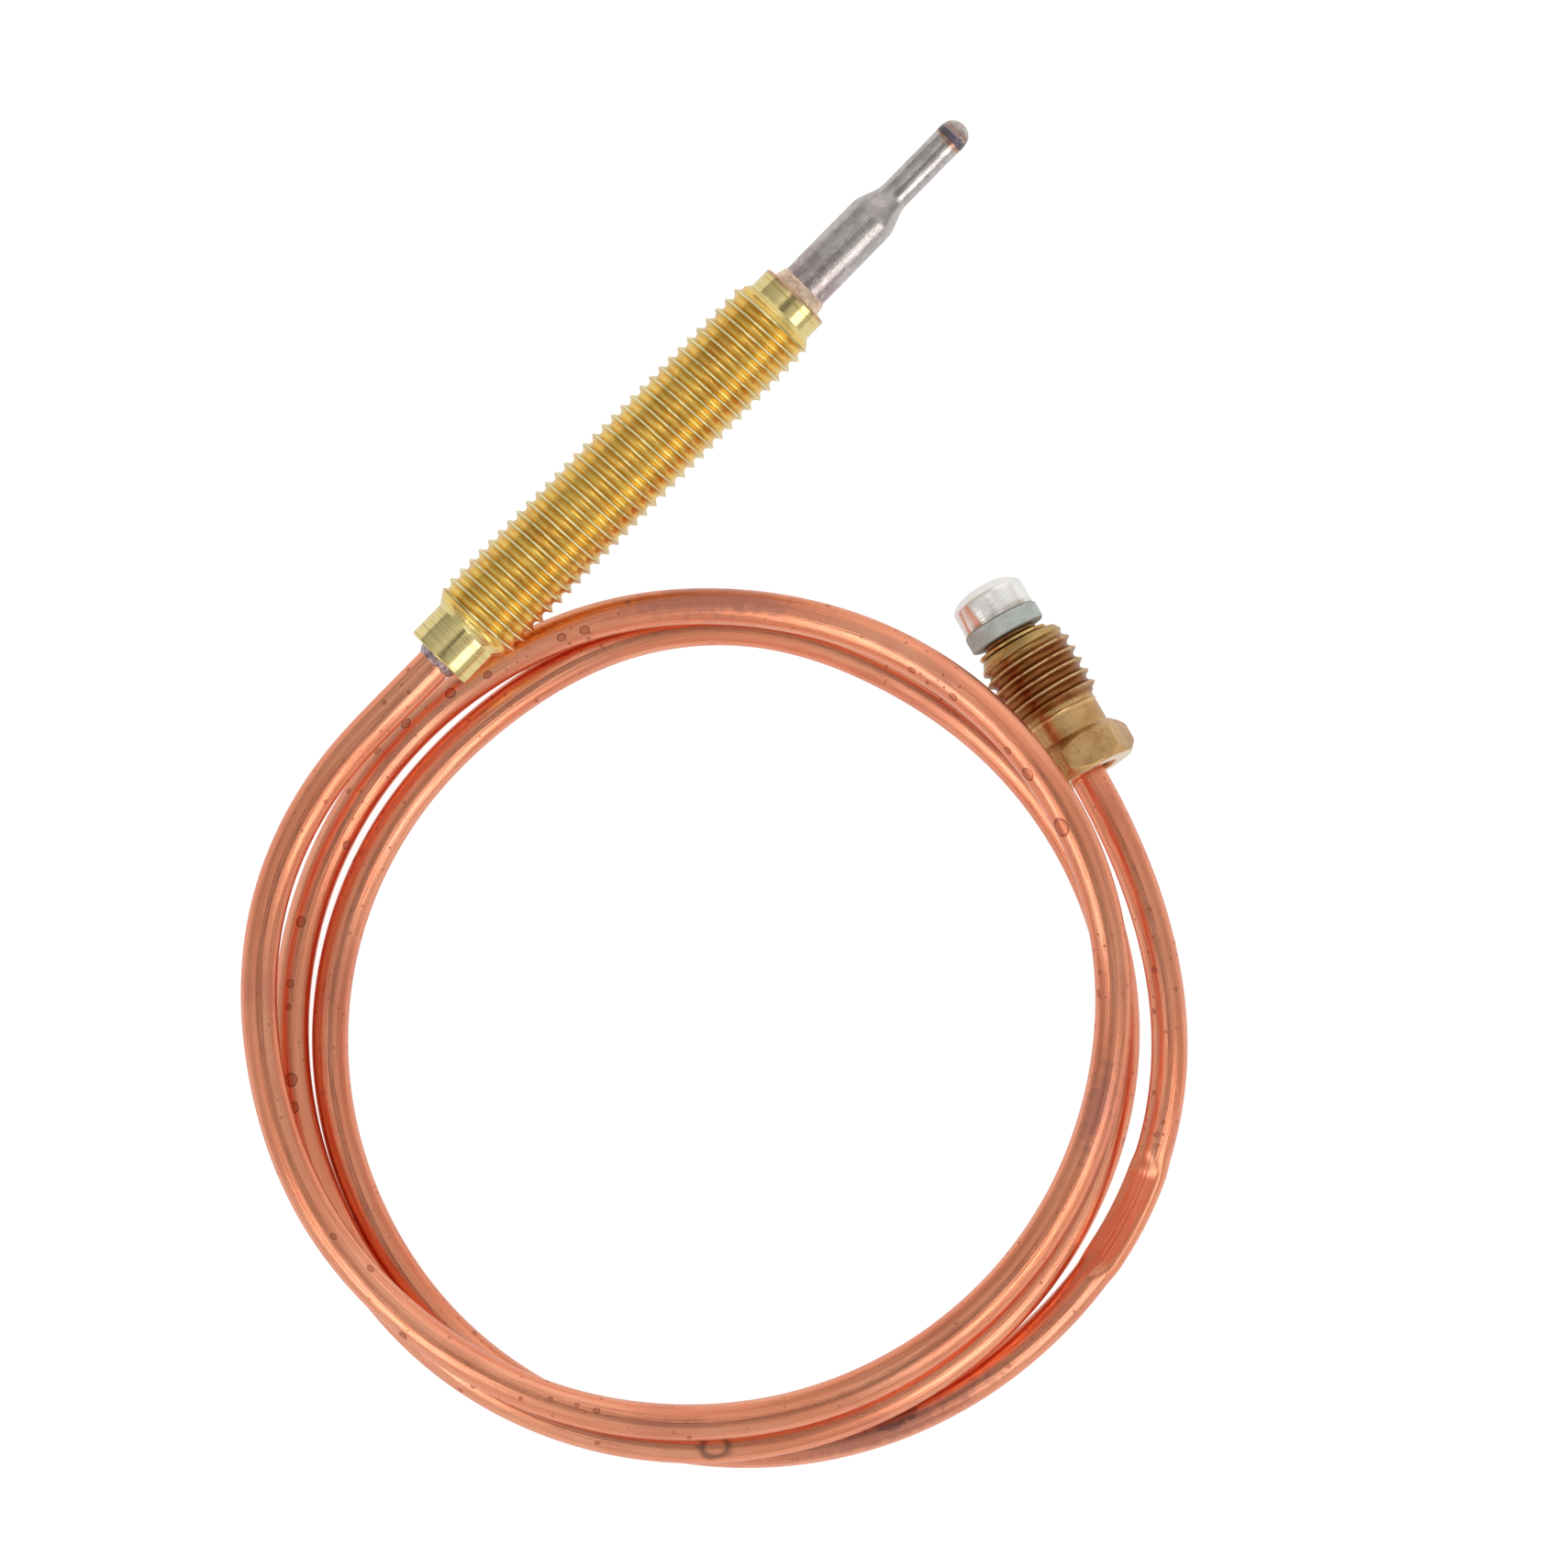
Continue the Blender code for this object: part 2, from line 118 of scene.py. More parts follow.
# ---- frames

def axis_frame(origin, direction):
    """A matrix at origin whose Z points along direction."""
    return Matrix.Translation(origin) @ direction.to_track_quat("Z", "Y").to_matrix().to_4x4()


SLEEVE_REAR = Vector((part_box("threaded_sleeve")[0].x, 0.0, 0.0))
HEAD_FRAME = axis_frame(SLEEVE_REAR, Vector((1.0, 0.0, 0.0)))
JOINTS = {joint["name"]: joint for joint in frame["joints"]}
BACKWARD = Vector(JOINTS["nut_slide"]["axis"]).normalized()
RING_CENTRE = sum(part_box("slip_ring"), Vector()) / 2
CONTACT_FACE = RING_CENTRE - BACKWARD * (sum(SLIP_RING) / 2 * MM)
CONNECTOR_FRAME = axis_frame(CONTACT_FACE, -BACKWARD)
ON_NUT_AXIS = Vector(JOINTS["nut_spin"]["pos_m"])
NUT_CENTRE = ON_NUT_AXIS + BACKWARD * (CONTACT_FACE - ON_NUT_AXIS).dot(BACKWARD)
NUT_FRAME = axis_frame(NUT_CENTRE, -BACKWARD)


# ---- node trees

class Tree:
    """A node tree, with a short call for each kind of node used here."""

    def __init__(self, node_tree):
        self.nodes = node_tree.nodes
        self.links = node_tree.links

    def add(self, kind, inputs=None, **settings):
        node = self.nodes.new("ShaderNode" + kind)
        for name, value in settings.items():
            setattr(node, name, value)
        for key, value in (inputs or {}).items():
            if isinstance(value, bpy.types.NodeSocket):
                self.links.new(value, node.inputs[key])
            else:
                node.inputs[key].default_value = value
        return node

    def math(self, operation, *values):
        return self.add("Math", dict(enumerate(values)), operation=operation).outputs[0]

    def plus(self, first, second):
        return self.math("ADD", first, second)

    def times(self, first, second):
        return self.math("MULTIPLY", first, second)

    def millimetres(self):
        """The piece's own coordinates, in millimetres."""
        place = self.add("TexCoord").outputs["Object"]
        return self.add("VectorMath", {0: place, "Scale": 1.0 / MM}, operation="SCALE").outputs[0]

    def polar(self, place):
        """Distance from the axis, angle about it and height along it."""
        parts = self.add("SeparateXYZ", {0: place}).outputs
        flat = self.plus(self.times(parts[0], parts[0]), self.times(parts[1], parts[1]))
        return self.math("SQRT", flat), self.math("ARCTAN2", parts[1], parts[0]), parts[2]

    def stretched(self, place, *scale):
        return self.add("VectorMath", {0: place, 1: scale}, operation="MULTIPLY").outputs[0]

    def noise(self, place, scale, detail=3.0, roughness=0.5):
        inputs = {"Vector": place, "Scale": scale, "Detail": detail, "Roughness": roughness}
        return self.add("TexNoise", inputs).outputs[0]

    def cells(self, place, scale):
        """Distance to the nearest of the points scattered over the piece."""
        return self.add("TexVoronoi", {"Vector": place, "Scale": scale}).outputs["Distance"]

    def smooth(self, value, low, high, start=0.0, end=1.0):
        """start below low, end above high and an eased step between them."""
        inputs = {"Value": value, "From Min": low, "From Max": high, "To Min": start, "To Max": end}
        return self.add("MapRange", inputs, interpolation_type="SMOOTHSTEP").outputs[0]

    def band(self, value, low, high, soft):
        """1 between low and high, and 0 outside them."""
        rise = self.smooth(value, low - soft, low + soft)
        fall = self.smooth(value, high - soft, high + soft, 1.0, 0.0)
        return self.times(rise, fall)

    def mix(self, factor, *colours):
        first, second = ((*c, 1.0) if isinstance(c, tuple) else c for c in colours)
        return self.add("Mix", {0: factor, 6: first, 7: second}, data_type="RGBA").outputs[2]

    def bump(self, height, distance):
        return self.add("Bump", {"Height": height, "Distance": distance * MM}).outputs[0]


class Surface(Tree):
    """A material's node tree around its shader."""

    def __init__(self, name, metallic, roughness):
        self.material = bpy.data.materials.new(name)
        self.material.use_nodes = True
        super().__init__(self.material.node_tree)
        self.shader = self.nodes["Principled BSDF"]
        self.shader.inputs["Metallic"].default_value = metallic
        self.shader.inputs["Roughness"].default_value = roughness

    def tint(self, factor, colour):
        """Turns the surface towards another colour, as far as the factor says."""
        self.colour = self.mix(factor, self.colour, colour)

    def finish(self, roughness, normal):
        for key, value in (("Base Color", self.colour), ("Roughness", roughness),
                           ("Normal", normal)):
            if value is not None:
                self.links.new(value, self.shader.inputs[key])
        return self.material


# ---- materials

def turned_marks(tree, radius, angle, height, density=9.0):
    """Fine rings that a lathe tool leaves, broken up around the piece."""
    parts = {0: tree.times(radius, density), 1: tree.times(angle, 0.35),
             2: tree.times(height, density)}
    return tree.noise(tree.add("CombineXYZ", parts).outputs[0], 1.0, 3.0, 0.7)


# How far a mark's outline strays from an ellipse.
MARK_RAGGEDNESS = {"ring": 0.45, "spot": 0.12, "smear": 1.0, "tarnish": 1.0}


def draw_marks(tree, place, marks):
    """Marks on the lead: kind, centre on the straight lead and half-sizes there."""
    ragged = tree.times(tree.plus(tree.noise(place, 1.1, 4.0), -0.5), 1.6)
    for kind, centre, spread in marks:
        offset = tree.add("VectorMath", {0: place, 1: centre}, operation="SUBTRACT").outputs[0]
        scaled = tree.stretched(offset, *(1.0 / s for s in spread))
        away = tree.add("VectorMath", {0: scaled}, operation="LENGTH").outputs["Value"]
        away = tree.plus(away, tree.times(ragged, MARK_RAGGEDNESS[kind]))
        if kind == "ring":
            mask, tint = tree.band(away, 0.58, 1.0, 0.24), (0.36, 0.16, 0.10)
        elif kind == "spot":
            tree.tint(tree.smooth(away, 0.75, 0.95, 0.75, 0.0), (0.58, 0.17, 0.09))
            mask, tint = tree.band(away, 0.78, 1.0, 0.12), (0.34, 0.10, 0.06)
        elif kind == "smear":
            mask, tint = tree.smooth(away, 0.55, 1.05, 0.85, 0.0), (0.10, 0.045, 0.04)
        else:
            mask, tint = tree.smooth(away, 0.3, 1.15, 0.6, 0.0), (0.47, 0.19, 0.155)
        tree.tint(mask, tint)


OXIDE_SPOTS = ((0.20, 0.115), (0.42, 0.125), (0.9, 0.14))   # cells to a millimetre, size


def copper_material(marks):
    """Drawn copper with lengthwise lines, oxide spots and the given marks."""
    tree = Surface("drawn_copper", 1.0, 0.24)
    place = tree.add("Attribute", attribute_name="straight").outputs["Vector"]
    lines = tree.noise(tree.stretched(place, 1.0, 1.0, 0.012), 5.5, 3.0, 0.65)
    broad = tree.noise(tree.stretched(place, 0.6, 0.6, 0.05), 1.0, 2.0)
    cloud = tree.noise(place, 0.09, 3.0, 0.6)
    grain = tree.noise(place, 9.0, 2.0)

    broad = tree.smooth(broad, 0.35, 0.7)
    tree.colour = tree.mix(broad, (0.91, 0.322, 0.175), (0.93, 0.405, 0.245))
    tree.tint(tree.smooth(lines, 0.50, 0.66, 0.0, 0.45), (0.60, 0.155, 0.08))
    tree.tint(tree.smooth(cloud, 0.50, 0.70, 0.0, 0.5), (0.70, 0.23, 0.15))

    rough = tree.smooth(grain, 0.3, 0.75, 0.17, 0.27)
    clusters = tree.smooth(tree.noise(place, 0.045, 1.0), 0.44, 0.52)
    wobble = tree.times(tree.noise(place, 2.2, 2.0), 0.05)
    for scale, size in OXIDE_SPOTS:
        away = tree.plus(tree.cells(place, scale), wobble)
        inside = tree.times(tree.smooth(away, size, size + 0.02, 1.0, 0.0), clusters)
        rim = tree.times(tree.band(away, size * 0.72, size, 0.012), clusters)
        tree.tint(tree.times(inside, 0.75), (0.62, 0.20, 0.11))
        tree.tint(tree.times(rim, 0.55), (0.34, 0.10, 0.06))
        rough = tree.math("MAXIMUM", rough, tree.times(inside, 0.42))
    pits = tree.smooth(tree.cells(place, 1.7), 0.07, 0.11, 1.0, 0.0)
    pits = tree.times(pits, tree.smooth(cloud, 0.42, 0.6))
    tree.tint(tree.times(pits, 0.7), (0.30, 0.10, 0.06))

    draw_marks(tree, place, marks)
    height = tree.plus(tree.times(lines, 0.8), tree.times(grain, 0.12))
    return tree.finish(rough, tree.bump(height, 0.05))


def copper_wire_material():
    """The lead's bare core."""
    tree = Surface("core_copper", 1.0, 0.3)
    place = tree.millimetres()
    shade = tree.noise(place, 2.5, 4.0)
    tree.colour = tree.mix(shade, (0.93, 0.42, 0.24), (0.78, 0.32, 0.18))
    return tree.finish(tree.smooth(shade, 0.3, 0.7, 0.22, 0.38), tree.bump(shade, 0.02))


def brass_material():
    """The sleeve: bright collars, crests lightened by wear and by a painted highlight, and grooves
    that are warmer and duller.
    """
    tree = Surface("turned_brass", 1.0, 0.2)
    place = tree.millimetres()
    radius, angle, height = tree.polar(place)
    rings = turned_marks(tree, radius, angle, height, 7.5)
    cloud = tree.noise(place, 0.35, 4.0, 0.6)
    speckle = tree.noise(place, 3.5, 4.0, 0.65)

    bright, groove = (0.85, 0.70, 0.31), (0.94, 0.63, 0.15)
    threaded = tree.band(height, REAR_COLLAR[1] + 0.6, FRONT_COLLAR[1] - 0.4, 0.5)
    depth = tree.smooth(radius, THREAD_RADIUS - 0.34, THREAD_RADIUS - 0.03, 1.0, 0.0)
    deep = tree.times(threaded, depth)
    tree.colour = tree.mix(deep, bright, groove)
    warm = tree.times(deep, tree.smooth(cloud, 0.45, 0.7, 0.0, 0.7))
    tree.tint(warm, (0.80, 0.42, 0.07))
    dirt = tree.times(deep, tree.smooth(speckle, 0.62, 0.72, 0.0, 0.75))
    tree.tint(dirt, (0.20, 0.12, 0.03))
    tree.tint(tree.smooth(rings, 0.52, 0.68, 0.0, 0.55), (0.42, 0.27, 0.07))
    tree.tint(tree.smooth(rings, 0.30, 0.42, 0.4, 0.0), (0.95, 0.80, 0.42))
    rim = tree.smooth(height, SLEEVE_LENGTH - 0.55, SLEEVE_LENGTH - 0.15)
    rim = tree.times(rim, tree.smooth(cloud, 0.3, 0.55, 0.4, 0.9))
    tree.tint(rim, (0.56, 0.33, 0.20))

    # A painted shade: a dark line on each thread flank just below the crest.
    painted_shade_by_crest = tree.band(radius, THREAD_RADIUS - 0.16, THREAD_RADIUS - 0.08, 0.02)
    painted_shade_by_crest = tree.times(tree.times(threaded, painted_shade_by_crest), tree.smooth(cloud, 0.3, 0.6, 0.4, 0.9))
    tree.tint(painted_shade_by_crest, (0.30, 0.18, 0.04))
    crest = tree.times(threaded, tree.smooth(radius, THREAD_RADIUS - 0.025, THREAD_RADIUS - 0.003))
    # The crests are lightened partly as wear and partly as a painted highlight along each crest
    # line.
    worn = tree.times(crest, tree.smooth(speckle, 0.36, 0.58, 0.3, 0.8))
    tree.tint(worn, (1.0, 0.85, 0.52))

    rough = tree.plus(tree.smooth(rings, 0.3, 0.8, 0.07, 0.20), tree.times(deep, 0.10))
    rough = tree.plus(rough, tree.times(crest, 0.2))
    relief = tree.plus(rings, tree.times(speckle, 0.6))
    relief = tree.times(relief, tree.plus(tree.times(deep, 0.8), 0.4))
    return tree.finish(rough, tree.bump(relief, 0.03))


def ring_brass_material():
    """The slip ring: golden brass with turning marks."""
    tree = Surface("golden_brass", 1.0, 0.25)
    place = tree.millimetres()
    radius, angle, height = tree.polar(place)
    rings = turned_marks(tree, radius, angle, height)
    cloud = tree.noise(place, 0.8, 4.0)
    tree.colour = tree.mix(tree.smooth(cloud, 0.4, 0.7), (0.74, 0.52, 0.19), (0.50, 0.30, 0.10))
    return tree.finish(tree.smooth(rings, 0.3, 0.8, 0.18, 0.36), tree.bump(rings, 0.015))


def aged_brass_material():
    """The nut: olive-brown brass, redder in the thread, its crests and rear edge lightened by wear
    and by a painted highlight.
    """
    tree = Surface("aged_brass", 1.0, 0.3)
    place = tree.millimetres()
    radius, angle, height = tree.polar(place)
    rings = turned_marks(tree, radius, angle, height)
    cloud = tree.noise(place, 0.45, 5.0, 0.62)
    speckle = tree.noise(place, 2.6, 5.0, 0.7)

    tree.colour = tree.mix(tree.smooth(cloud, 0.35, 0.68), (0.68, 0.42, 0.18), (0.48, 0.25, 0.09))
    threaded = tree.band(height, -NUT_THREAD_END, -NUT_FRONT, 0.25)
    depth = tree.smooth(radius, ROOT_RADIUS, THREAD_RADIUS - 0.04, 1.0, 0.0)
    deep = tree.times(threaded, tree.plus(tree.times(depth, 0.45), 0.5))
    tree.tint(deep, (0.30, 0.105, 0.03))
    crest = tree.times(threaded, tree.smooth(radius, THREAD_RADIUS - 0.045, THREAD_RADIUS - 0.01))
    # The thread crests are lightened partly as wear and partly as a painted highlight.
    worn = tree.times(crest, tree.smooth(speckle, 0.36, 0.58, 0.4, 0.95))
    tree.tint(worn, (0.84, 0.62, 0.34))
    front = tree.smooth(height, -FULL_THREAD[0] - 0.3, -FULL_THREAD[0] + 0.6, 0.0, 0.75)
    front = tree.times(threaded, front)
    tree.tint(front, (0.60, 0.40, 0.15))
    line = tree.band(height, -SHANK_LINE - 0.3, -SHANK_LINE - 0.05, 0.06)
    tree.tint(line, (0.80, 0.50, 0.22))
    # The rear edge is lightened nearly to white-pink, partly as wear and partly as a painted
    # highlight.
    rear = tree.smooth(height, -NUT_REAR + 0.02, -NUT_REAR + 0.12, 0.9, 0.0)
    tree.tint(rear, (0.90, 0.74, 0.54))
    tree.tint(tree.smooth(speckle, 0.58, 0.72, 0.0, 0.6), (0.20, 0.10, 0.04))
    tree.tint(tree.smooth(rings, 0.55, 0.7, 0.0, 0.35), (0.24, 0.12, 0.04))

    rough = tree.smooth(speckle, 0.25, 0.75, 0.18, 0.34)
    rough = tree.plus(rough, tree.times(crest, 0.2))
    relief = tree.plus(tree.times(rings, 0.6), speckle)
    return tree.finish(rough, tree.bump(relief, 0.03))


HEAT_TINTS = (                 # start and end from the sheath's end, softness, colour
    (-0.3, 0.2, 0.2, (0.62, 0.40, 0.17)),
    (-0.25, 0.4, 0.18, (0.30, 0.13, 0.12)),
    (0.1, 0.8, 0.15, (0.11, 0.10, 0.15)))


def steel_material():
    """The probe: drawn steel, mottled, purplish by the braze and straw to blue by the tip."""
    tree = Surface("probe_steel", 1.0, 0.25)
    place = tree.millimetres()
    height = tree.polar(place)[2]
    streaks = tree.noise(tree.stretched(place, 1.0, 1.0, 0.10), 4.0, 4.0, 0.7)
    mottle = tree.noise(place, 1.3, 5.0, 0.65)
    pits = tree.noise(place, 6.0, 3.0, 0.6)

    tree.colour = tree.mix(tree.smooth(mottle, 0.35, 0.68), (0.62, 0.57, 0.54), (0.47, 0.42, 0.40))
    tree.tint(tree.smooth(streaks, 0.55, 0.72, 0.0, 0.6), (0.36, 0.32, 0.30))
    purple = tree.smooth(height, SLEEVE_LENGTH + 0.85, SLEEVE_LENGTH + 5.75, 0.75, 0.0)
    purple = tree.times(purple, tree.smooth(mottle, 0.3, 0.6))
    tree.tint(purple, (0.40, 0.29, 0.29))
    edge = tree.plus(height, tree.times(tree.plus(mottle, -0.5), 0.9))
    uneven = tree.smooth(tree.noise(place, 0.8, 2.0), 0.38, 0.58, 0.55, 0.95)
    for low, high, soft, tint in HEAT_TINTS:
        band = tree.band(edge, SHEATH_END + low, SHEATH_END + high, soft)
        tree.tint(tree.times(band, uneven), tint)

    dull = tree.smooth(pits, 0.4, 0.75, 0.0, 0.12)
    rough = tree.plus(tree.smooth(height, SHOULDER[0] - 1.2, SHOULDER[0] + 1.8, 0.20, 0.15), dull)
    relief = tree.plus(tree.times(streaks, 0.8), tree.times(pits, 0.5))
    return tree.finish(rough, tree.bump(relief, 0.03))


def bead_material():
    """The weld: grey and rough, with a dark blue and brown tint around its base."""
    tree = Surface("weld_bead", 1.0, 0.34)
    place = tree.millimetres()
    height = tree.polar(place)[2]
    mottle = tree.noise(place, 2.4, 5.0, 0.7)
    edge = tree.plus(height, tree.times(tree.plus(mottle, -0.5), 1.2))
    tree.colour = tree.mix(tree.smooth(mottle, 0.35, 0.65), (0.72, 0.64, 0.60), (0.44, 0.36, 0.34))
    dark = tree.smooth(edge, SHEATH_END + 0.45, SHEATH_END + 0.85, 0.9, 0.0)
    tree.tint(dark, (0.12, 0.10, 0.14))
    brown = tree.band(edge, SHEATH_END + 0.8, SHEATH_END + 1.15, 0.15)
    tree.tint(tree.times(brown, 0.6), (0.34, 0.17, 0.11))
    return tree.finish(tree.smooth(mottle, 0.3, 0.7, 0.26, 0.46), tree.bump(mottle, 0.09))


def plain_metal(name, light, dark, smoothest, roughest, relief, scale=1.6):
    """A metal whose colour, gloss and relief follow one cloudy noise."""
    tree = Surface(name, 1.0, (smoothest + roughest) / 2)
    place = tree.millimetres()
    cloud = tree.noise(place, scale, 5.0, 0.62)
    fine = tree.noise(place, scale * 4.0, 3.0)
    tree.colour = tree.mix(tree.smooth(cloud, 0.35, 0.68), light, dark)
    rough = tree.smooth(fine, 0.3, 0.72, smoothest, roughest)
    return tree.finish(rough, tree.bump(tree.plus(cloud, fine), relief))


def tin_material():
    """The contact cap: bright tin with faint turning rings and darker patches towards the washer.
    """
    tree = Surface("tin_plate", 0.8, 0.2)
    place = tree.millimetres()
    radius, angle, height = tree.polar(place)
    rings = turned_marks(tree, radius, angle, height, 6.0)
    cloud = tree.noise(place, 0.9, 4.0)
    tree.colour = tree.mix(tree.smooth(cloud, 0.35, 0.7), (0.97, 0.95, 0.92), (0.90, 0.87, 0.82))
    # Darker patches towards the washer end of the cap.
    darker_by_washer = tree.times(tree.smooth(height, -CAP_DEPTH, -CAP_DEPTH + 0.5, 1.0, 0.0),
                      tree.smooth(cloud, 0.3, 0.6, 0.2, 0.8))
    tree.tint(darker_by_washer, (0.55, 0.48, 0.40))
    rough = tree.smooth(rings, 0.3, 0.8, 0.12, 0.24)
    return tree.finish(rough, tree.bump(tree.plus(rings, cloud), 0.02))


def fibre_material():
    """The washer: grey-green vulcanised fibre, dusty, with pressed-in dark fibres."""
    tree = Surface("washer_fibre", 0.0, 0.62)
    place = tree.millimetres()
    cloud = tree.noise(place, 0.9, 5.0, 0.65)
    strands = tree.noise(tree.stretched(place, 1.0, 1.0, 3.0), 3.2, 5.0, 0.75)
    tree.colour = tree.mix(tree.smooth(cloud, 0.3, 0.7), (0.52, 0.56, 0.52), (0.68, 0.71, 0.67))
    tree.tint(tree.smooth(strands, 0.55, 0.7, 0.0, 0.7), (0.20, 0.24, 0.215))
    tree.tint(tree.smooth(strands, 0.28, 0.4, 0.5, 0.0), (0.85, 0.87, 0.84))
    return tree.finish(tree.smooth(strands, 0.3, 0.7, 0.45, 0.75), tree.bump(strands, 0.08))


def dull_material(name, light, dark, roughness, scale, relief):
    """An unglazed or fibrous piece inside the head."""
    tree = Surface(name, 0.0, roughness)
    place = tree.millimetres()
    grain = tree.noise(place, scale, 5.0, 0.7)
    tree.colour = tree.mix(tree.smooth(grain, 0.35, 0.65), light, dark)
    return tree.finish(None, tree.bump(grain, relief))


# ---- turned pieces

def rounded(points, steps=5):
    """(height, radius) points from (height, radius, corner), with each corner eased off."""
    outline = []
    for i, (height, radius, corner) in enumerate(points):
        here = np.array((height, radius))
        if not corner:
            outline.append((height, radius))
            continue
        before = np.array(points[i - 1][:2]) - here
        after = np.array(points[(i + 1) % len(points)][:2]) - here
        start = here + before / np.linalg.norm(before) * corner
        end = here + after / np.linalg.norm(after) * corner
        for t in np.linspace(0.0, 1.0, steps + 1):
            outline.append(tuple(start * (1 - t) ** 2 + here * 2 * t * (1 - t) + end * t * t))
    return outline


def ring_faces(rings, segments, closed=False):
    """Faces between neighbouring rings of vertices, and from the last to the first if closed."""
    faces = []
    for i in range(rings if closed else rings - 1):
        row, below = i * segments, (i + 1) % rings * segments
        for j in range(segments):
            k = (j + 1) % segments
            faces.append((row + j, below + j, below + k, row + k))
    return faces


def around_axis(radius, angle, height):
    """Places about the axis, one to a row."""
    places = np.stack([radius * np.cos(angle), radius * np.sin(angle), height], axis=-1)
    return places.reshape(-1, 3)


def surface_of_revolution(outline, closed, shape=None, segments=SEGMENTS):
    """Vertices in metres and faces of a (height, radius) outline spun about Z.

    The outline runs down the outer side first, so that the faces look outward.
    """
    heights, radii = np.array(outline).T
    turn = np.linspace(0.0, 2 * math.pi, segments, endpoint=False)
    height, angle = np.meshgrid(heights, turn, indexing="ij")
    radius = np.repeat(radii[:, None], segments, axis=1)
    if shape is not None:
        height, radius = shape(height, radius, angle)
    return around_axis(radius, angle, height) * MM, ring_faces(len(outline), segments, closed)


def lumps(radius, angle, height, size, amount):
    """Smooth random numbers of about -amount to amount at places in millimetres."""
    values = [noise.noise(Vector(place) / size) for place in around_axis(radius, angle, height)]
    return np.array(values).reshape(height.shape) * amount


def clean(shape, distance):
    """Merges vertices that fall on one place and drops the faces that collapse with them."""
    bmesh.ops.remove_doubles(shape, verts=shape.verts, dist=distance)
    bmesh.ops.dissolve_degenerate(shape, edges=shape.edges, dist=distance)


def add_object(name, data):
    """A new object in the scene."""
    made = bpy.data.objects.new(name, data)
    bpy.context.scene.collection.objects.link(made)
    return made


def new_piece(name, surfaces, placed, material):
    """One mesh object from (vertices, faces) surfaces that share their rims."""
    shape = bmesh.new()
    for vertices, faces in surfaces:
        made = [shape.verts.new(v) for v in vertices]
        for face in faces:
            shape.faces.new([made[i] for i in face])
    clean(shape, SAME_PLACE)
    mesh = bpy.data.meshes.new(name)
    shape.to_mesh(mesh)
    shape.free()
    mesh.shade_smooth()
    mesh.set_sharp_from_angle(angle=SHARP_ANGLE)
    mesh.materials.append(material)
    piece = add_object(name, mesh)
    piece.matrix_world = placed
    return piece


def turned(name, outline, placed, material, closed=True, shape=None, segments=SEGMENTS):
    """One turned piece; shape may move its places in height and radius."""
    surface = surface_of_revolution(outline, closed, shape, segments)
    return new_piece(name, [surface], placed, material)


# Share of one pitch and height above the root: a rounded root and a rounded crest.
HALF_FORM = [(0.08, 0.02), (0.16, 0.11), (0.24, 0.30), (0.32, 0.56), (0.39, 0.82), (0.435, 0.95),
             (0.47, 0.99)]
THREAD_FORM = [(0.0, 0.0), *HALF_FORM, (0.5, 1.0),
               *((1.0 - share, level) for share, level in reversed(HALF_FORM))]


def thread_surface(bottom, top, pitch, envelope, phase, wear, segments=SEGMENTS):
    """A right-hand thread between two heights, cut down to envelope(height) at its ends.

    Each row of vertices follows the helix, so that crests and roots stay crisp. Rows that
    run past an end lie on its rim, where they are merged.
    """
    turns = range(-2, math.ceil((top - bottom) / pitch) + 1)
    shares = [turn + share for turn in turns for share, level in THREAD_FORM]
    levels = [level for share, level in THREAD_FORM] * len(turns)
    turn = np.linspace(0.0, 1.0, segments, endpoint=False)
    height = bottom + pitch * (np.array(shares)[:, None] + turn[None, :] + phase)
    level = np.repeat(np.array(levels)[:, None], segments, axis=1)
    height = np.clip(height, bottom, top)
    angle = np.repeat(turn[None, :], len(shares), axis=0) * 2 * math.pi
    full = ROOT_RADIUS + (THREAD_RADIUS - ROOT_RADIUS) * level
    radius = np.minimum(full, envelope(height))
    nicks = lumps(radius, angle, height, 0.55, 1.0)
    worn = np.clip(nicks - 0.25, 0.0, 1.0) * wear * level
    inside = (height > bottom) & (height < top)
    radius = np.where(inside, radius - worn, radius)
    form, faces = len(THREAD_FORM), []
    for i in range(len(shares) - 1):
        for j in range(segments):
            last = j == segments - 1
            above, right = i + 1, 0 if last else j + 1
            step = form if last else 0
            if above + step >= len(shares):
                continue
            faces.append((i * segments + j, (i + step) * segments + right,
                          (above + step) * segments + right, above * segments + j))
    return around_axis(radius, angle, height) * MM, faces


def eased(value, low, high):
    """0 below low, 1 above high and a soft step between them."""
    share = np.clip((value - low) / (high - low), 0.0, 1.0)
    return share * share * (3.0 - 2.0 * share)


# ---- the head

def make_sleeve(material):
    rear_radius, rear_end = REAR_COLLAR
    front_radius, front_start = FRONT_COLLAR
    front_bore, rear_bore = SHEATH_RADIUS + 0.2, LEAD_RADIUS + 0.2
    step = SHEATH_START - 0.2
    rear_slope, front_slope = 0.68, 0.78            # where the thread runs out
    scribed, depth = SLEEVE_LENGTH - 0.76, 0.035    # a fine line round the front collar

    def envelope(height):
        rear = rear_radius + (height - rear_end) * rear_slope
        front = front_radius + (front_start - height) * front_slope
        return np.minimum(rear, front)

    thread = thread_surface(rear_end, front_start, PITCH, envelope, phase=0.44, wear=0.10)
    ends = rounded([
        (rear_end, rear_radius, 0), (0.0, rear_radius, 0.14), (0.0, rear_bore, 0.08),
        (step, rear_bore, 0), (step, front_bore, 0), (SLEEVE_LENGTH, front_bore, 0.06),
        (SLEEVE_LENGTH, front_radius, 0.25), (scribed + 0.06, front_radius, 0),
        (scribed + 0.03, front_radius - depth, 0), (scribed - 0.03, front_radius - depth, 0),
        (scribed - 0.06, front_radius, 0), (front_start, front_radius, 0)])
    collars = surface_of_revolution(ends, closed=False)
    piece = new_piece("sleeve", [thread, collars], HEAD_FRAME, material)
    return attach(piece, FIXED, "brass", "threaded_sleeve")


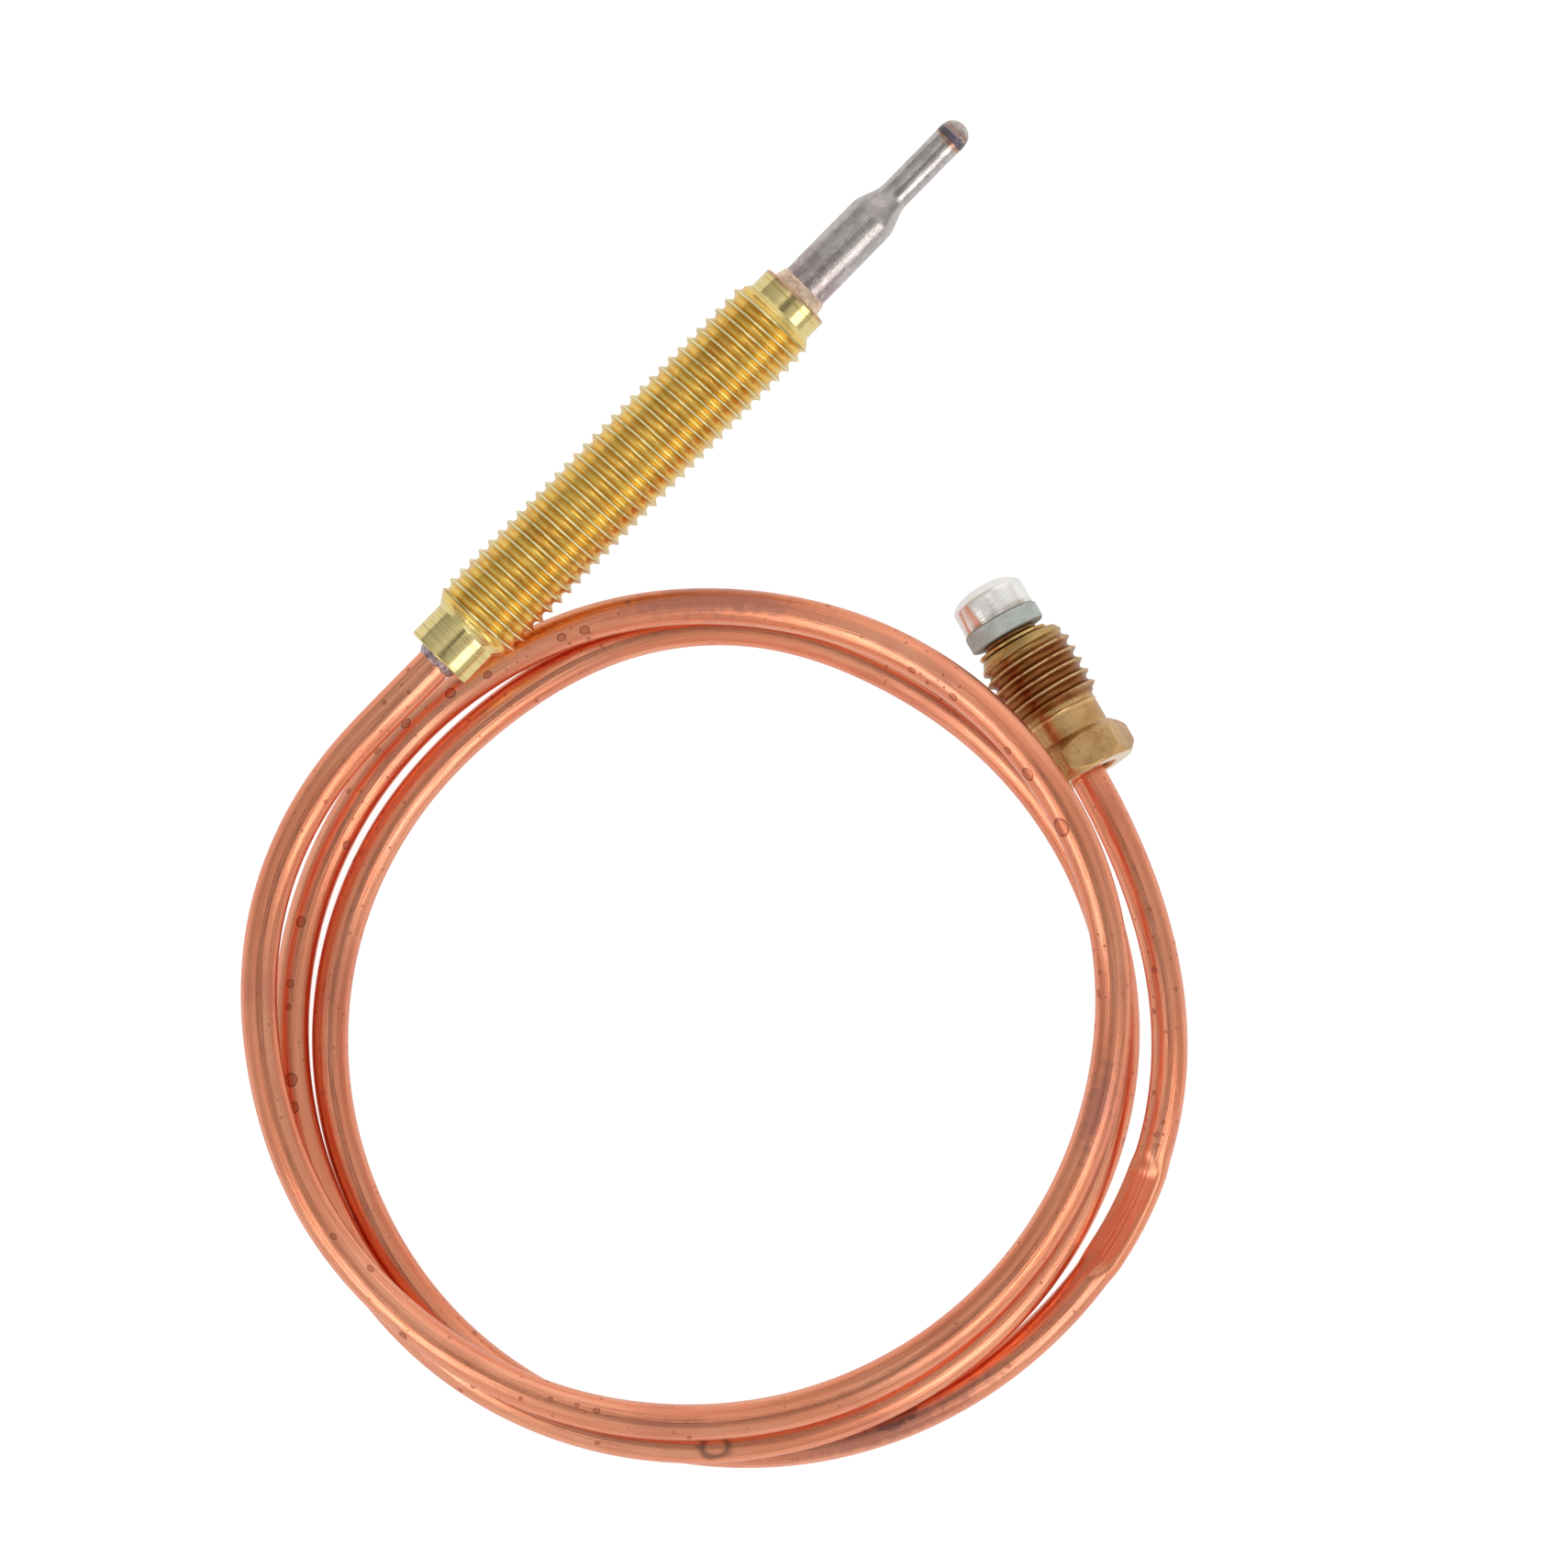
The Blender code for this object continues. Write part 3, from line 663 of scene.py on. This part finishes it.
def make_probe(material):
    wall, tip_bore = 0.5, 0.85

    def pressed(height, radius, angle):
        """Faint flats where the shoulder was pressed in by four jaws, and slight waviness."""
        along = eased(height, SHOULDER[0] - 0.9, SHOULDER[0] + 0.9)
        along = along * (1.0 - eased(height, SHOULDER[1] - 1.0, SHOULDER[1] + 0.5))
        flats = np.abs(np.cos(2.0 * (angle - 0.5))) ** 1.5
        wave = 0.006 * np.sin(height * 2.1 + 2.0 * angle)
        return height, radius * (1.0 - 0.045 * along * (1.0 - flats)) + wave * (radius > 1.0)

    heights = np.concatenate((
        np.linspace(SHEATH_END, SHOULDER[1], 8), np.linspace(SHOULDER[1], SHOULDER[0], 40)[1:],
        np.linspace(SHOULDER[0], SLEEVE_LENGTH - 0.75, 16)[1:], [SHEATH_START]))
    drop = eased(heights, *SHOULDER)
    bore = SHEATH_RADIUS - wall
    outer = zip(heights, SHEATH_RADIUS + (TIP_RADIUS - SHEATH_RADIUS) * drop)
    inner = zip(heights[::-1], (bore + (tip_bore - bore) * drop)[::-1])
    piece = turned("probe", [*outer, *inner], HEAD_FRAME, material, shape=pressed)
    return attach(piece, FIXED, "sheath_steel", "probe_sheath")


def make_bead(material):
    base, radius = SHEATH_END + 0.03, TIP_RADIUS + 0.02
    centre = HEAD_LENGTH - radius
    arc = [(centre + radius * math.sin(lean), radius * math.cos(lean))
           for lean in np.linspace(math.pi / 2, 0.0, 24)]
    lower = [(centre - t * (centre - base), radius) for t in (0.25, 0.5, 0.75, 1.0)]

    def molten(height, radius, angle):
        bumps = lumps(radius, angle, height, 0.8, 0.045)
        fade = eased(height, base, base + 0.5) * (radius > 0.02)
        return height, radius + bumps * fade

    outline = arc + lower + [(base, 0.0)]
    piece = turned("junction_bead", outline, HEAD_FRAME, material, False, molten, segments=72)
    return attach(piece, FIXED, "heat_tinted_steel", "hot_junction_bead")


def make_braze(material):
    base, middle = SLEEVE_LENGTH + 0.02, 2.5
    bore, thickness = SHEATH_RADIUS + 0.01, 0.3

    def uneven(height, radius, angle):
        share = eased(height, base, base + 0.9)
        bumps = lumps(middle, angle, height, 0.9, 0.09)
        outside = radius > SHEATH_RADIUS + 0.03
        return height + bumps * share, radius + np.where(outside, bumps * 0.5, 0.0)

    curve = [(base + 1 - t, bore + 0.03 + (thickness - 0.03) * t ** 0.7)
             for t in np.linspace(0, 1, 12)]
    outline = curve + [(base, bore), (base + 0.98, bore)]
    piece = turned("front_braze", outline, HEAD_FRAME, material, shape=uneven)
    return attach(piece, FIXED, "copper_braze", "front_braze_fillet")


def make_solder_ring(material):
    middle, bore, front, rear = 1.8, LEAD_RADIUS + 0.01, -0.02, -0.62

    def uneven(height, radius, angle):
        bumps = lumps(middle, angle, height, 0.7, 0.16)
        height = height + np.where(height < -0.3, bumps, 0.0)
        outside = radius > LEAD_RADIUS + 0.05
        return height, radius + np.where(outside, bumps * 0.7, 0.0)

    curve = [(front + (rear - front) * t, bore + 0.02 + 0.3 * (1 - t ** 1.8))
             for t in np.linspace(0, 1, 10)]
    outline = curve + [(rear, bore), (front, bore)]
    piece = turned("rear_solder", outline, HEAD_FRAME, material, shape=uneven, segments=72)
    return attach(piece, FIXED, "silver_solder", "rear_solder_ring")


# ---- the connector

def make_cap(material):
    rear, hole, bore, end_wall = -WASHER[0] + 0.05, 0.9, 2.6, -0.7
    outline = rounded([
        (0.0, hole, 0.05), (0.0, 1.6, 0.3), (-0.32, 2.5, 0.4), (-0.9, CAP_RADIUS, 0.3),
        (rear, CAP_RADIUS, 0.05), (rear, bore, 0), (end_wall, bore, 0.2), (end_wall, hole, 0)])
    piece = turned("cap", outline, CONNECTOR_FRAME, material)
    return attach(piece, FIXED, "tin_plate", "contact_cap")


def make_cap_solder(material):
    radius = 0.88
    dome = [(0.12 * (1 - t * t) - 0.06, radius * t) for t in np.linspace(0.0, 1.0, 10)]

    def uneven(height, radius, angle):
        bumps = lumps(radius, angle, height, 0.5, 0.03)
        return np.where(height > -0.3, np.minimum(height + bumps, 0.0), height), radius

    outline = dome + [(-0.6, radius), (-0.6, 0.0)]
    piece = turned("cap_solder", outline, CONNECTOR_FRAME, material, False, uneven, segments=48)
    return attach(piece, FIXED, "silver_solder", "contact_solder")


def make_washer(material):
    front, rear, radius = WASHER
    bore = 0.95

    def worn(height, radius, angle):
        bumps = lumps(WASHER[2], angle, height, 0.6, 0.05)
        return height, radius + np.where(radius > 3.0, bumps, 0.0)

    side = [(-front - t * (rear - front), radius, 0) for t in (0.35, 0.5, 0.65)]
    outline = rounded([(-front, bore, 0), (-front, radius, 0.12), *side, (-rear, radius, 0.25),
                       (-rear, bore, 0)])
    piece = turned("washer", outline, CONNECTOR_FRAME, material, shape=worn)
    return attach(piece, FIXED, "washer_fibre", "insulating_washer")


def make_ferrule(material):
    front, hub, seat, rear = -WASHER[1] - 0.05, -5.1, -LEAD_END + 0.15, -6.6
    bore, lead_bore, hub_radius, flange_radius = 0.95, LEAD_RADIUS + 0.1, 1.95, 2.4
    outline = rounded([
        (front, bore, 0), (front, flange_radius, 0.08), (hub, flange_radius, 0.06),
        (hub, hub_radius, 0.05), (rear, hub_radius, 0.08), (rear, lead_bore, 0.05),
        (seat, lead_bore, 0), (seat, bore, 0)])
    piece = turned("ferrule", outline, CONNECTOR_FRAME, material, segments=72)
    return attach(piece, FIXED, "dark_brass", "lead_ferrule")


def make_slip_ring(material):
    front, rear = SLIP_RING
    inner, outer = 2.15, 3.15
    outline = rounded([(-front, inner, 0), (-front, outer, 0.1), (-rear, outer, 0.1),
                       (-rear, inner, 0)])
    piece = turned("golden_ring", outline, CONNECTOR_FRAME, material)
    return attach(piece, LOOSE, "brass", "slip_ring")


def make_hexagon(material):
    """The nut's hexagon with turned chamfers and slightly softened edges."""
    shape = bmesh.new()
    corner = HEX_ACROSS_FLATS / 2 / math.cos(math.pi / 6) * MM
    turn = Matrix.Rotation(math.radians(HEX_TURN), 4, "Z")
    centre = Matrix.Translation((0, 0, -(HEX_START + NUT_REAR) / 2 * MM))
    bmesh.ops.create_cone(shape, cap_ends=True, segments=6, radius1=corner, radius2=corner,
                          depth=(NUT_REAR - HEX_START) * MM, matrix=centre @ turn)
    mesh = bpy.data.meshes.new("hexagon")
    shape.to_mesh(mesh)
    shape.free()
    mesh.materials.append(material)
    hexagon = add_object("hexagon", mesh)
    hexagon.matrix_world = NUT_FRAME

    flat, wide = HEX_ACROSS_FLATS / 2, corner / MM + 0.1
    outline = [(-HEX_START, 0.0), (-HEX_START, flat - 0.45), (-HEX_START - 1.15, wide),
               (-NUT_REAR + 1.0, wide), (-NUT_REAR, flat - 0.2), (-NUT_REAR, 0.0)]
    cutter = turned("hexagon_chamfer", outline, NUT_FRAME, material, closed=False, segments=144)
    apply_boolean(hexagon, cutter, "INTERSECT")

    shape = bmesh.new()
    shape.from_mesh(hexagon.data)
    edges = [edge for edge in shape.edges
             if len(edge.link_faces) == 2 and edge.calc_face_angle() > math.radians(20)]
    bmesh.ops.bevel(shape, geom=edges, offset=0.05 * MM, segments=2, profile=0.6, affect="EDGES",
                    clamp_overlap=True)
    shape.to_mesh(hexagon.data)
    shape.free()
    return hexagon


def apply_boolean(piece, other, operation):
    """Applies a Boolean to piece at once and removes the other object."""
    boolean = piece.modifiers.new("boolean", "BOOLEAN")
    boolean.operation = operation
    boolean.solver = "EXACT"
    boolean.object = other
    bpy.context.view_layer.update()
    evaluated = piece.evaluated_get(bpy.context.evaluated_depsgraph_get())
    made = bpy.data.meshes.new_from_object(evaluated)
    piece.modifiers.clear()
    piece.data = made
    bpy.data.objects.remove(other, do_unlink=True)


def make_bore_cutter(material):
    """The hole through the nut: wide for the ferrule in front, closer round the lead behind."""
    ferrule_bore, ferrule_end, lead_bore, margin = 2.5, 8.0, 2.15, 1.0
    bore = [(-NUT_FRONT + margin, 0.0), (-NUT_FRONT + margin, ferrule_bore + 0.15),
            (-NUT_FRONT, ferrule_bore + 0.15), (-NUT_FRONT - 0.15, ferrule_bore),
            (-ferrule_end, ferrule_bore), (-ferrule_end, lead_bore),
            (-NUT_REAR + 0.3, lead_bore), (-NUT_REAR, lead_bore + 0.25),
            (-NUT_REAR - margin, lead_bore + 0.25), (-NUT_REAR - margin, 0.0)]
    return turned("nut_bore", bore, NUT_FRAME, material, closed=False, segments=96)


def make_nut(material):
    face_radius = 3.4

    def envelope(height):
        depth = -height
        whole = THREAD_RADIUS + 0.01
        front = np.interp(depth, (NUT_FRONT, 6.2, FULL_THREAD[0]), (face_radius, 3.72, whole))
        rear = np.interp(depth, (FULL_THREAD[1], NUT_THREAD_END), (whole, SHANK_RADIUS))
        return np.minimum(front, rear)

    inside = NUT_REAR - 0.4
    thread = thread_surface(-NUT_THREAD_END, -NUT_FRONT, NUT_PITCH, envelope, phase=0.68,
                            wear=0.12, segments=96)
    shank = rounded([
        (-NUT_THREAD_END, SHANK_RADIUS, 0), (-SHANK_LINE + 0.1, SHANK_RADIUS, 0),
        (-SHANK_LINE, SHANK_RADIUS + 0.07, 0), (-SHANK_LINE - 0.1, SHANK_RADIUS, 0),
        (-HEX_START + 0.1, SHANK_RADIUS, 0), (-HEX_START - 0.05, SHANK_RADIUS + 0.1, 0),
        (-inside, SHANK_RADIUS, 0), (-inside, 0.0, 0)])
    face = [(-NUT_FRONT, 0.0), (-NUT_FRONT, face_radius)]
    surfaces = [thread, surface_of_revolution(shank, False, segments=96),
                surface_of_revolution(face, False, segments=96)]
    nut = new_piece("nut", surfaces, NUT_FRAME, material)

    apply_boolean(nut, make_hexagon(material), "UNION")
    apply_boolean(nut, make_bore_cutter(material), "DIFFERENCE")
    shape = bmesh.new()
    shape.from_mesh(nut.data)
    clean(shape, 2 * SAME_PLACE)
    shape.to_mesh(nut.data)
    shape.free()
    nut.data.shade_smooth()
    nut.data.set_sharp_from_angle(angle=SHARP_ANGLE)
    return attach(nut, TURNING, "dark_brass", "union_nut")


# ---- the lead

def smooth_curve(route, step):
    """Natural cubic spline through the route's points, at even steps of about that length."""
    points = np.array(route)
    spans = np.linalg.norm(np.diff(points, axis=0), axis=1)
    knots = np.concatenate(([0.0], np.cumsum(spans)))
    last = len(points) - 1
    system = np.eye(last + 1)
    slopes = np.diff(points, axis=0) / spans[:, None]
    target = np.zeros_like(points)
    for i in range(1, last):
        system[i, i - 1:i + 2] = (spans[i - 1], 2 * (spans[i - 1] + spans[i]), spans[i])
        target[i] = 6 * (slopes[i] - slopes[i - 1])
    bends = np.linalg.solve(system, target)
    fine = []
    for at in np.linspace(0.0, knots[-1], 80 * last):
        i = min(max(int(np.searchsorted(knots, at)) - 1, 0), last - 1)
        after, before, span = knots[i + 1] - at, at - knots[i], spans[i]
        fine.append((bends[i] * after ** 3 + bends[i + 1] * before ** 3) / (6 * span)
                    + (points[i] / span - bends[i] * span / 6) * after
                    + (points[i + 1] / span - bends[i + 1] * span / 6) * before)
    fine = np.array(fine)
    lengths = np.concatenate(([0.0], np.cumsum(np.linalg.norm(np.diff(fine, axis=0), axis=1))))
    even = np.linspace(0.0, lengths[-1], round(lengths[-1] / step) + 1)
    return np.column_stack([np.interp(even, lengths, fine[:, k]) for k in range(3)]), even


def lead_route():
    """The lead's points in millimetres: out of the sleeve, round the coil, into the ferrule."""
    sleeve_rear, contact = SLEEVE_REAR / MM, CONTACT_FACE / MM
    straight = (LEAD_INSERTION, 2.0, -2.0, -5.0)   # ahead of the sleeve's rear face
    route = [sleeve_rear + Vector((ahead, 0.0, 0.0)) for ahead in straight]
    for angle, radius, height in COIL_ROUTE:
        turn = math.radians(angle)
        across = COIL_CENTRE[0] + radius * math.cos(turn)
        along = COIL_CENTRE[1] + radius * math.sin(turn)
        route.append(Vector((across, along, height + RESTING_HEIGHT)))
    for depth in np.linspace(STRAIGHT_LEAD, LEAD_END, 5):
        route.append(contact + BACKWARD * float(depth))
    return [tuple(point) for point in route]


def coil_angles(line):
    """How far round the coil each point of the line is, in degrees, growing along the lead."""
    turn = np.arctan2(line[:, 1] - COIL_CENTRE[1], line[:, 0] - COIL_CENTRE[0])
    return np.degrees(np.unwrap(turn))


DENT = (1001.5, 1016.5)        # the flattened stretch, in degrees round the coil
DENT_BLEND = 1.6
DENT_LEAN = math.radians(24)   # the flat's lean from the top towards the coil's inside


def dented(across, up, weight):
    """Cross-section points with the lead's top pressed flat and its sides pushed out."""
    lean_across, lean_up = -math.sin(DENT_LEAN), math.cos(DENT_LEAN)
    out = across * lean_across + up * lean_up
    side = across * lean_up - up * lean_across
    limit = 0.52 * LEAD_RADIUS
    pressed = np.where(out > limit, limit + (out - limit) * 0.06, out)
    out = out + (pressed - out) * weight
    side = side * (1.0 + 0.10 * weight)
    return out * lean_across + side * lean_up, out * lean_up - side * lean_across


def make_lead(line, lengths, material):
    ahead = np.gradient(line, axis=0)
    ahead /= np.linalg.norm(ahead, axis=1)[:, None]
    out = np.cross(ahead, (0.0, 0.0, 1.0))
    out /= np.linalg.norm(out, axis=1)[:, None]
    up = np.cross(out, ahead)
    angles = coil_angles(line)
    rise = eased(angles, DENT[0] - DENT_BLEND, DENT[0] + DENT_BLEND)
    weight = rise * (1.0 - eased(angles, DENT[1] - DENT_BLEND, DENT[1] + DENT_BLEND))

    turn = np.linspace(0.0, 2 * math.pi, LEAD_SIDES, endpoint=False)
    sway = 1.0 + 0.004 * np.sin(lengths / 7.3) + 0.003 * np.sin(lengths / 2.9 + 1.0)
    across = LEAD_RADIUS * sway[:, None] * np.cos(turn)[None, :]
    above = LEAD_RADIUS * sway[:, None] * np.sin(turn)[None, :]
    straight = np.stack([across, above, np.repeat(lengths[:, None], LEAD_SIDES, axis=1)], axis=-1)
    across, above = dented(across, above, weight[:, None])
    points = (line[:, None, :] + across[:, :, None] * out[:, None, :]
              + above[:, :, None] * up[:, None, :])

    faces = ring_faces(len(line), LEAD_SIDES)
    faces.append(tuple(range(LEAD_SIDES)))
    faces.append(tuple(reversed(range((len(line) - 1) * LEAD_SIDES, len(line) * LEAD_SIDES))))
    mesh = bpy.data.meshes.new("lead")
    mesh.from_pydata((points * MM).reshape(-1, 3).tolist(), [], faces)
    mesh.shade_smooth()
    mesh.set_sharp_from_angle(angle=math.radians(45))
    kept = mesh.attributes.new("straight", "FLOAT_VECTOR", "POINT")
    kept.data.foreach_set("vector", straight.reshape(-1).astype(np.float32))
    mesh.materials.append(material)
    return attach(add_object("lead", mesh), FIXED, "copper", "copper_lead")


SPOTS = (                      # angle round the coil, lean outward from the top, half-length
    (206.5, -10, 0.32), (319.5, -58, 0.35), (344.8, -38, 0.85), (353.8, -42, 0.62),
    (358.2, -45, 0.38), (369.0, -38, 0.40), (376.0, -40, 0.35), (423.5, -18, 0.45),
    (426.8, -15, 0.42), (438.2, -12, 0.40), (443.8, 10, 0.50), (451.0, 35, 0.48),
    (456.2, 45, 0.32), (480.9, 10, 0.48), (489.2, 8, 0.38), (492.3, 8, 0.28),
    (502.0, 5, 0.62), (505.7, 10, 0.52), (163.2, -8, 0.32), (169.5, -40, 0.36))


def stain_places(line, lengths):
    """The lead's larger marks: kind, place on the straight lead and half-sizes."""
    angles = coil_angles(line)

    def at(angle, lean):
        """A surface place at that angle round the coil, leaning outward from the top."""
        side = math.radians(lean)
        along = float(np.interp(angle, angles, lengths))
        return (LEAD_RADIUS * math.sin(side), LEAD_RADIUS * math.cos(side), along)

    marks = [("ring", at(583.5, 5), (1.2, 1.2, 1.45)),
             ("smear", at(968.0, -20), (0.95, 0.95, 3.0)),
             ("tarnish", at(406.0, 25), (1.7, 1.7, 9.5)),
             ("tarnish", at(303.0, 0), (1.5, 1.5, 5.0)),
             ("tarnish", at(966.0, 10), (1.6, 1.6, 11.0))]
    for angle, lean, half_length in SPOTS:
        half_width = half_length * 0.85
        marks.append(("spot", at(angle, lean), (half_width, half_width, half_length)))
    return marks


# ---- putting it together

def attach(piece, body, slot, *nodes):
    """Ties a piece to the body it moves with and hides the CAD nodes it stands for. The slot is not
    used.
    """
    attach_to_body(piece, body)
    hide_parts(*nodes)
    return piece


def finish_inner_pieces(materials):
    """The pieces sealed inside keep their CAD shapes and get materials of their own."""
    for node, material in materials.items():
        for used in frame["nodes"][node].material_slots:
            used.material = material


def make_camera():
    camera = bpy.data.cameras.new("camera")
    camera.sensor_width = SENSOR_WIDTH
    camera.lens = SENSOR_WIDTH * VIEW_HEIGHT / VIEW_WIDTH
    camera.clip_start, camera.clip_end = 0.05, 20.0
    looker = add_object("camera", camera)
    looker.location = (VIEW_CENTRE[0] * MM, VIEW_CENTRE[1] * MM, VIEW_HEIGHT * MM)
    looker.rotation_euler = (0.0, 0.0, math.radians(VIEW_TURN))
    bpy.context.scene.camera = looker


def make_floor():
    """A plain ground that shines a little, so that it stays white round the object."""
    size = 6.0
    mesh = bpy.data.meshes.new("floor")
    corners = [(-size, -size), (size, -size), (size, size), (-size, size)]
    mesh.from_pydata([(x, y, (RESTING_HEIGHT - 0.02) * MM) for x, y in corners], [], [(0, 1, 2, 3)])
    tree = Surface("floor", 0.0, 0.7)
    grey, glow, seen_glow = 0.42, 0.56, 0.90
    tree.shader.inputs["Base Color"].default_value = (grey, grey, grey, 1.0)
    tree.shader.inputs["Specular IOR Level"].default_value = 0.0
    tree.shader.inputs["Emission Color"].default_value = (1.0, 1.0, 1.0, 1.0)
    seen = tree.add("LightPath").outputs["Is Camera Ray"]
    strength = tree.smooth(seen, 0.0, 1.0, glow, seen_glow)
    tree.links.new(strength, tree.shader.inputs["Emission Strength"])
    mesh.materials.append(tree.material)
    add_object("floor", mesh)


def outward(azimuth, tilt):
    """The direction at an azimuth from +X, tilted away from straight up, both in degrees."""
    turn, lean = math.radians(azimuth), math.radians(tilt)
    flat = math.sin(lean)
    return Vector((flat * math.cos(turn), flat * math.sin(turn), math.cos(lean)))


ROOM_LIGHT = (                 # height of the direction, radiance: darker straight overhead
    (0.0, 0.52), (0.25, 0.62), (0.6, 0.66), (0.93, 0.68), (0.972, 0.56), (0.988, 0.22))
ROOM_PATCHES = (               # centre's azimuth and tilt, half-angle at its peak and end, change
    (22, 78, 10, 42, 0.42), (55, 20, 4, 13, 0.35), (195, 62, 10, 35, 0.12),
    (235, 22, 5, 20, -0.16), (315, 75, 15, 45, -0.10), (105, 80, 20, 65, -0.16))


def make_world():
    """A pale grey room with a small dark spot overhead and wide soft patches."""
    world = bpy.data.worlds.new("studio")
    world.use_nodes = True
    bpy.context.scene.world = world
    tree = Tree(world.node_tree)
    direction = tree.add("TexCoord").outputs["Generated"]
    ramp = tree.add("ValToRGB", {0: tree.add("SeparateXYZ", {0: direction}).outputs[2]})
    stops = ramp.color_ramp.elements
    ramp.color_ramp.interpolation = "EASE"
    while len(stops) < len(ROOM_LIGHT):
        stops.new(0.5)
    for stop, (position, value) in zip(stops, ROOM_LIGHT):
        stop.position = position
        stop.color = (value, value, value, 1.0)

    total = ramp.outputs[0]
    for azimuth, tilt, core, reach, change in ROOM_PATCHES:
        centre = outward(azimuth, tilt)
        toward = tree.add("VectorMath", {0: direction, 1: centre}, operation="DOT_PRODUCT")
        low, high = math.cos(math.radians(reach)), math.cos(math.radians(core))
        total = tree.plus(total, tree.smooth(toward.outputs["Value"], low, high, 0.0, change))
    background = tree.nodes["Background"]
    tree.links.new(total, background.inputs["Color"])

    backdrop = tree.add("Background", {"Color": (0.95, 0.95, 0.95, 1.0)})
    seen = tree.add("LightPath").outputs["Is Camera Ray"]
    either = tree.add("MixShader", {0: seen, 1: background.outputs[0], 2: backdrop.outputs[0]})
    tree.links.new(either.outputs[0], tree.nodes["World Output"].inputs[0])


def make_softbox(name, azimuth, tilt, distance, width, height, radiance):
    """A rectangular light, aimed at the middle of the view."""
    light = bpy.data.lights.new(name, "AREA")
    light.shape = "RECTANGLE"
    light.size, light.size_y = width, height
    light.energy = radiance * math.pi * width * height
    box = add_object(name, light)
    out = outward(azimuth, tilt)
    centre = Vector((VIEW_CENTRE[0] * MM, VIEW_CENTRE[1] * MM, 0.0))
    box.location = centre + out * distance
    box.rotation_euler = out.to_track_quat("Z", "Y").to_euler()


def main():
    make_camera()
    make_world()
    make_softbox("left_softbox", 173, 50, 0.9, 0.40, 0.42, 1.6)
    make_softbox("right_softbox", 272, 53, 0.9, 0.42, 0.48, 1.6)
    make_floor()
    bpy.context.scene.view_settings.view_transform = "Standard"

    line, lengths = smooth_curve(lead_route(), LEAD_RING_STEP)
    lead = make_lead(line, lengths, copper_material(stain_places(line, lengths)))

    solder = plain_metal("solder", (0.86, 0.84, 0.82), (0.62, 0.58, 0.56), 0.14, 0.32, 0.05)
    make_sleeve(brass_material())
    make_probe(steel_material())
    make_bead(bead_material())
    make_braze(plain_metal(
        "copper_braze", (0.90, 0.70, 0.49), (0.70, 0.46, 0.33), 0.16, 0.28, 0.03))
    make_solder_ring(plain_metal(
        "flux_dark_solder", (0.66, 0.55, 0.57), (0.20, 0.12, 0.13), 0.08, 0.24, 0.12, 1.8))

    cap = make_cap(tin_material())
    drop = make_cap_solder(solder)
    washer = make_washer(fibre_material())
    # The ferrule's tarnished brass is darkened further as painted shade for the shadowed gap round
    # it.
    ferrule = make_ferrule(plain_metal(
        "tarnished_shade_darkened_brass", (0.30, 0.15, 0.06), (0.16, 0.07, 0.03), 0.25, 0.4, 0.03))
    ring = make_slip_ring(ring_brass_material())
    nut = make_nut(aged_brass_material())

    wire = copper_wire_material()
    braid = dull_material("glass_fibre", (0.80, 0.79, 0.72), (0.62, 0.60, 0.52), 0.9, 5.0, 0.1)
    ceramic = dull_material("ceramic", (0.86, 0.83, 0.75), (0.78, 0.74, 0.66), 0.75, 2.5, 0.02)
    constantan = plain_metal("constantan", (0.66, 0.63, 0.57), (0.52, 0.49, 0.44), 0.25, 0.4, 0.02)
    finish_inner_pieces({
        "constantan_wire": constantan,
        "cold_junction_weld": solder,
        "core_wire_head_end": wire, "core_wire_contact_end": wire,
        "ceramic_tube_rear": ceramic, "ceramic_tube_front": ceramic,
        "core_insulation_head_end": braid, "core_insulation_contact_end": braid})


main()

bpy.context.view_layer.update()
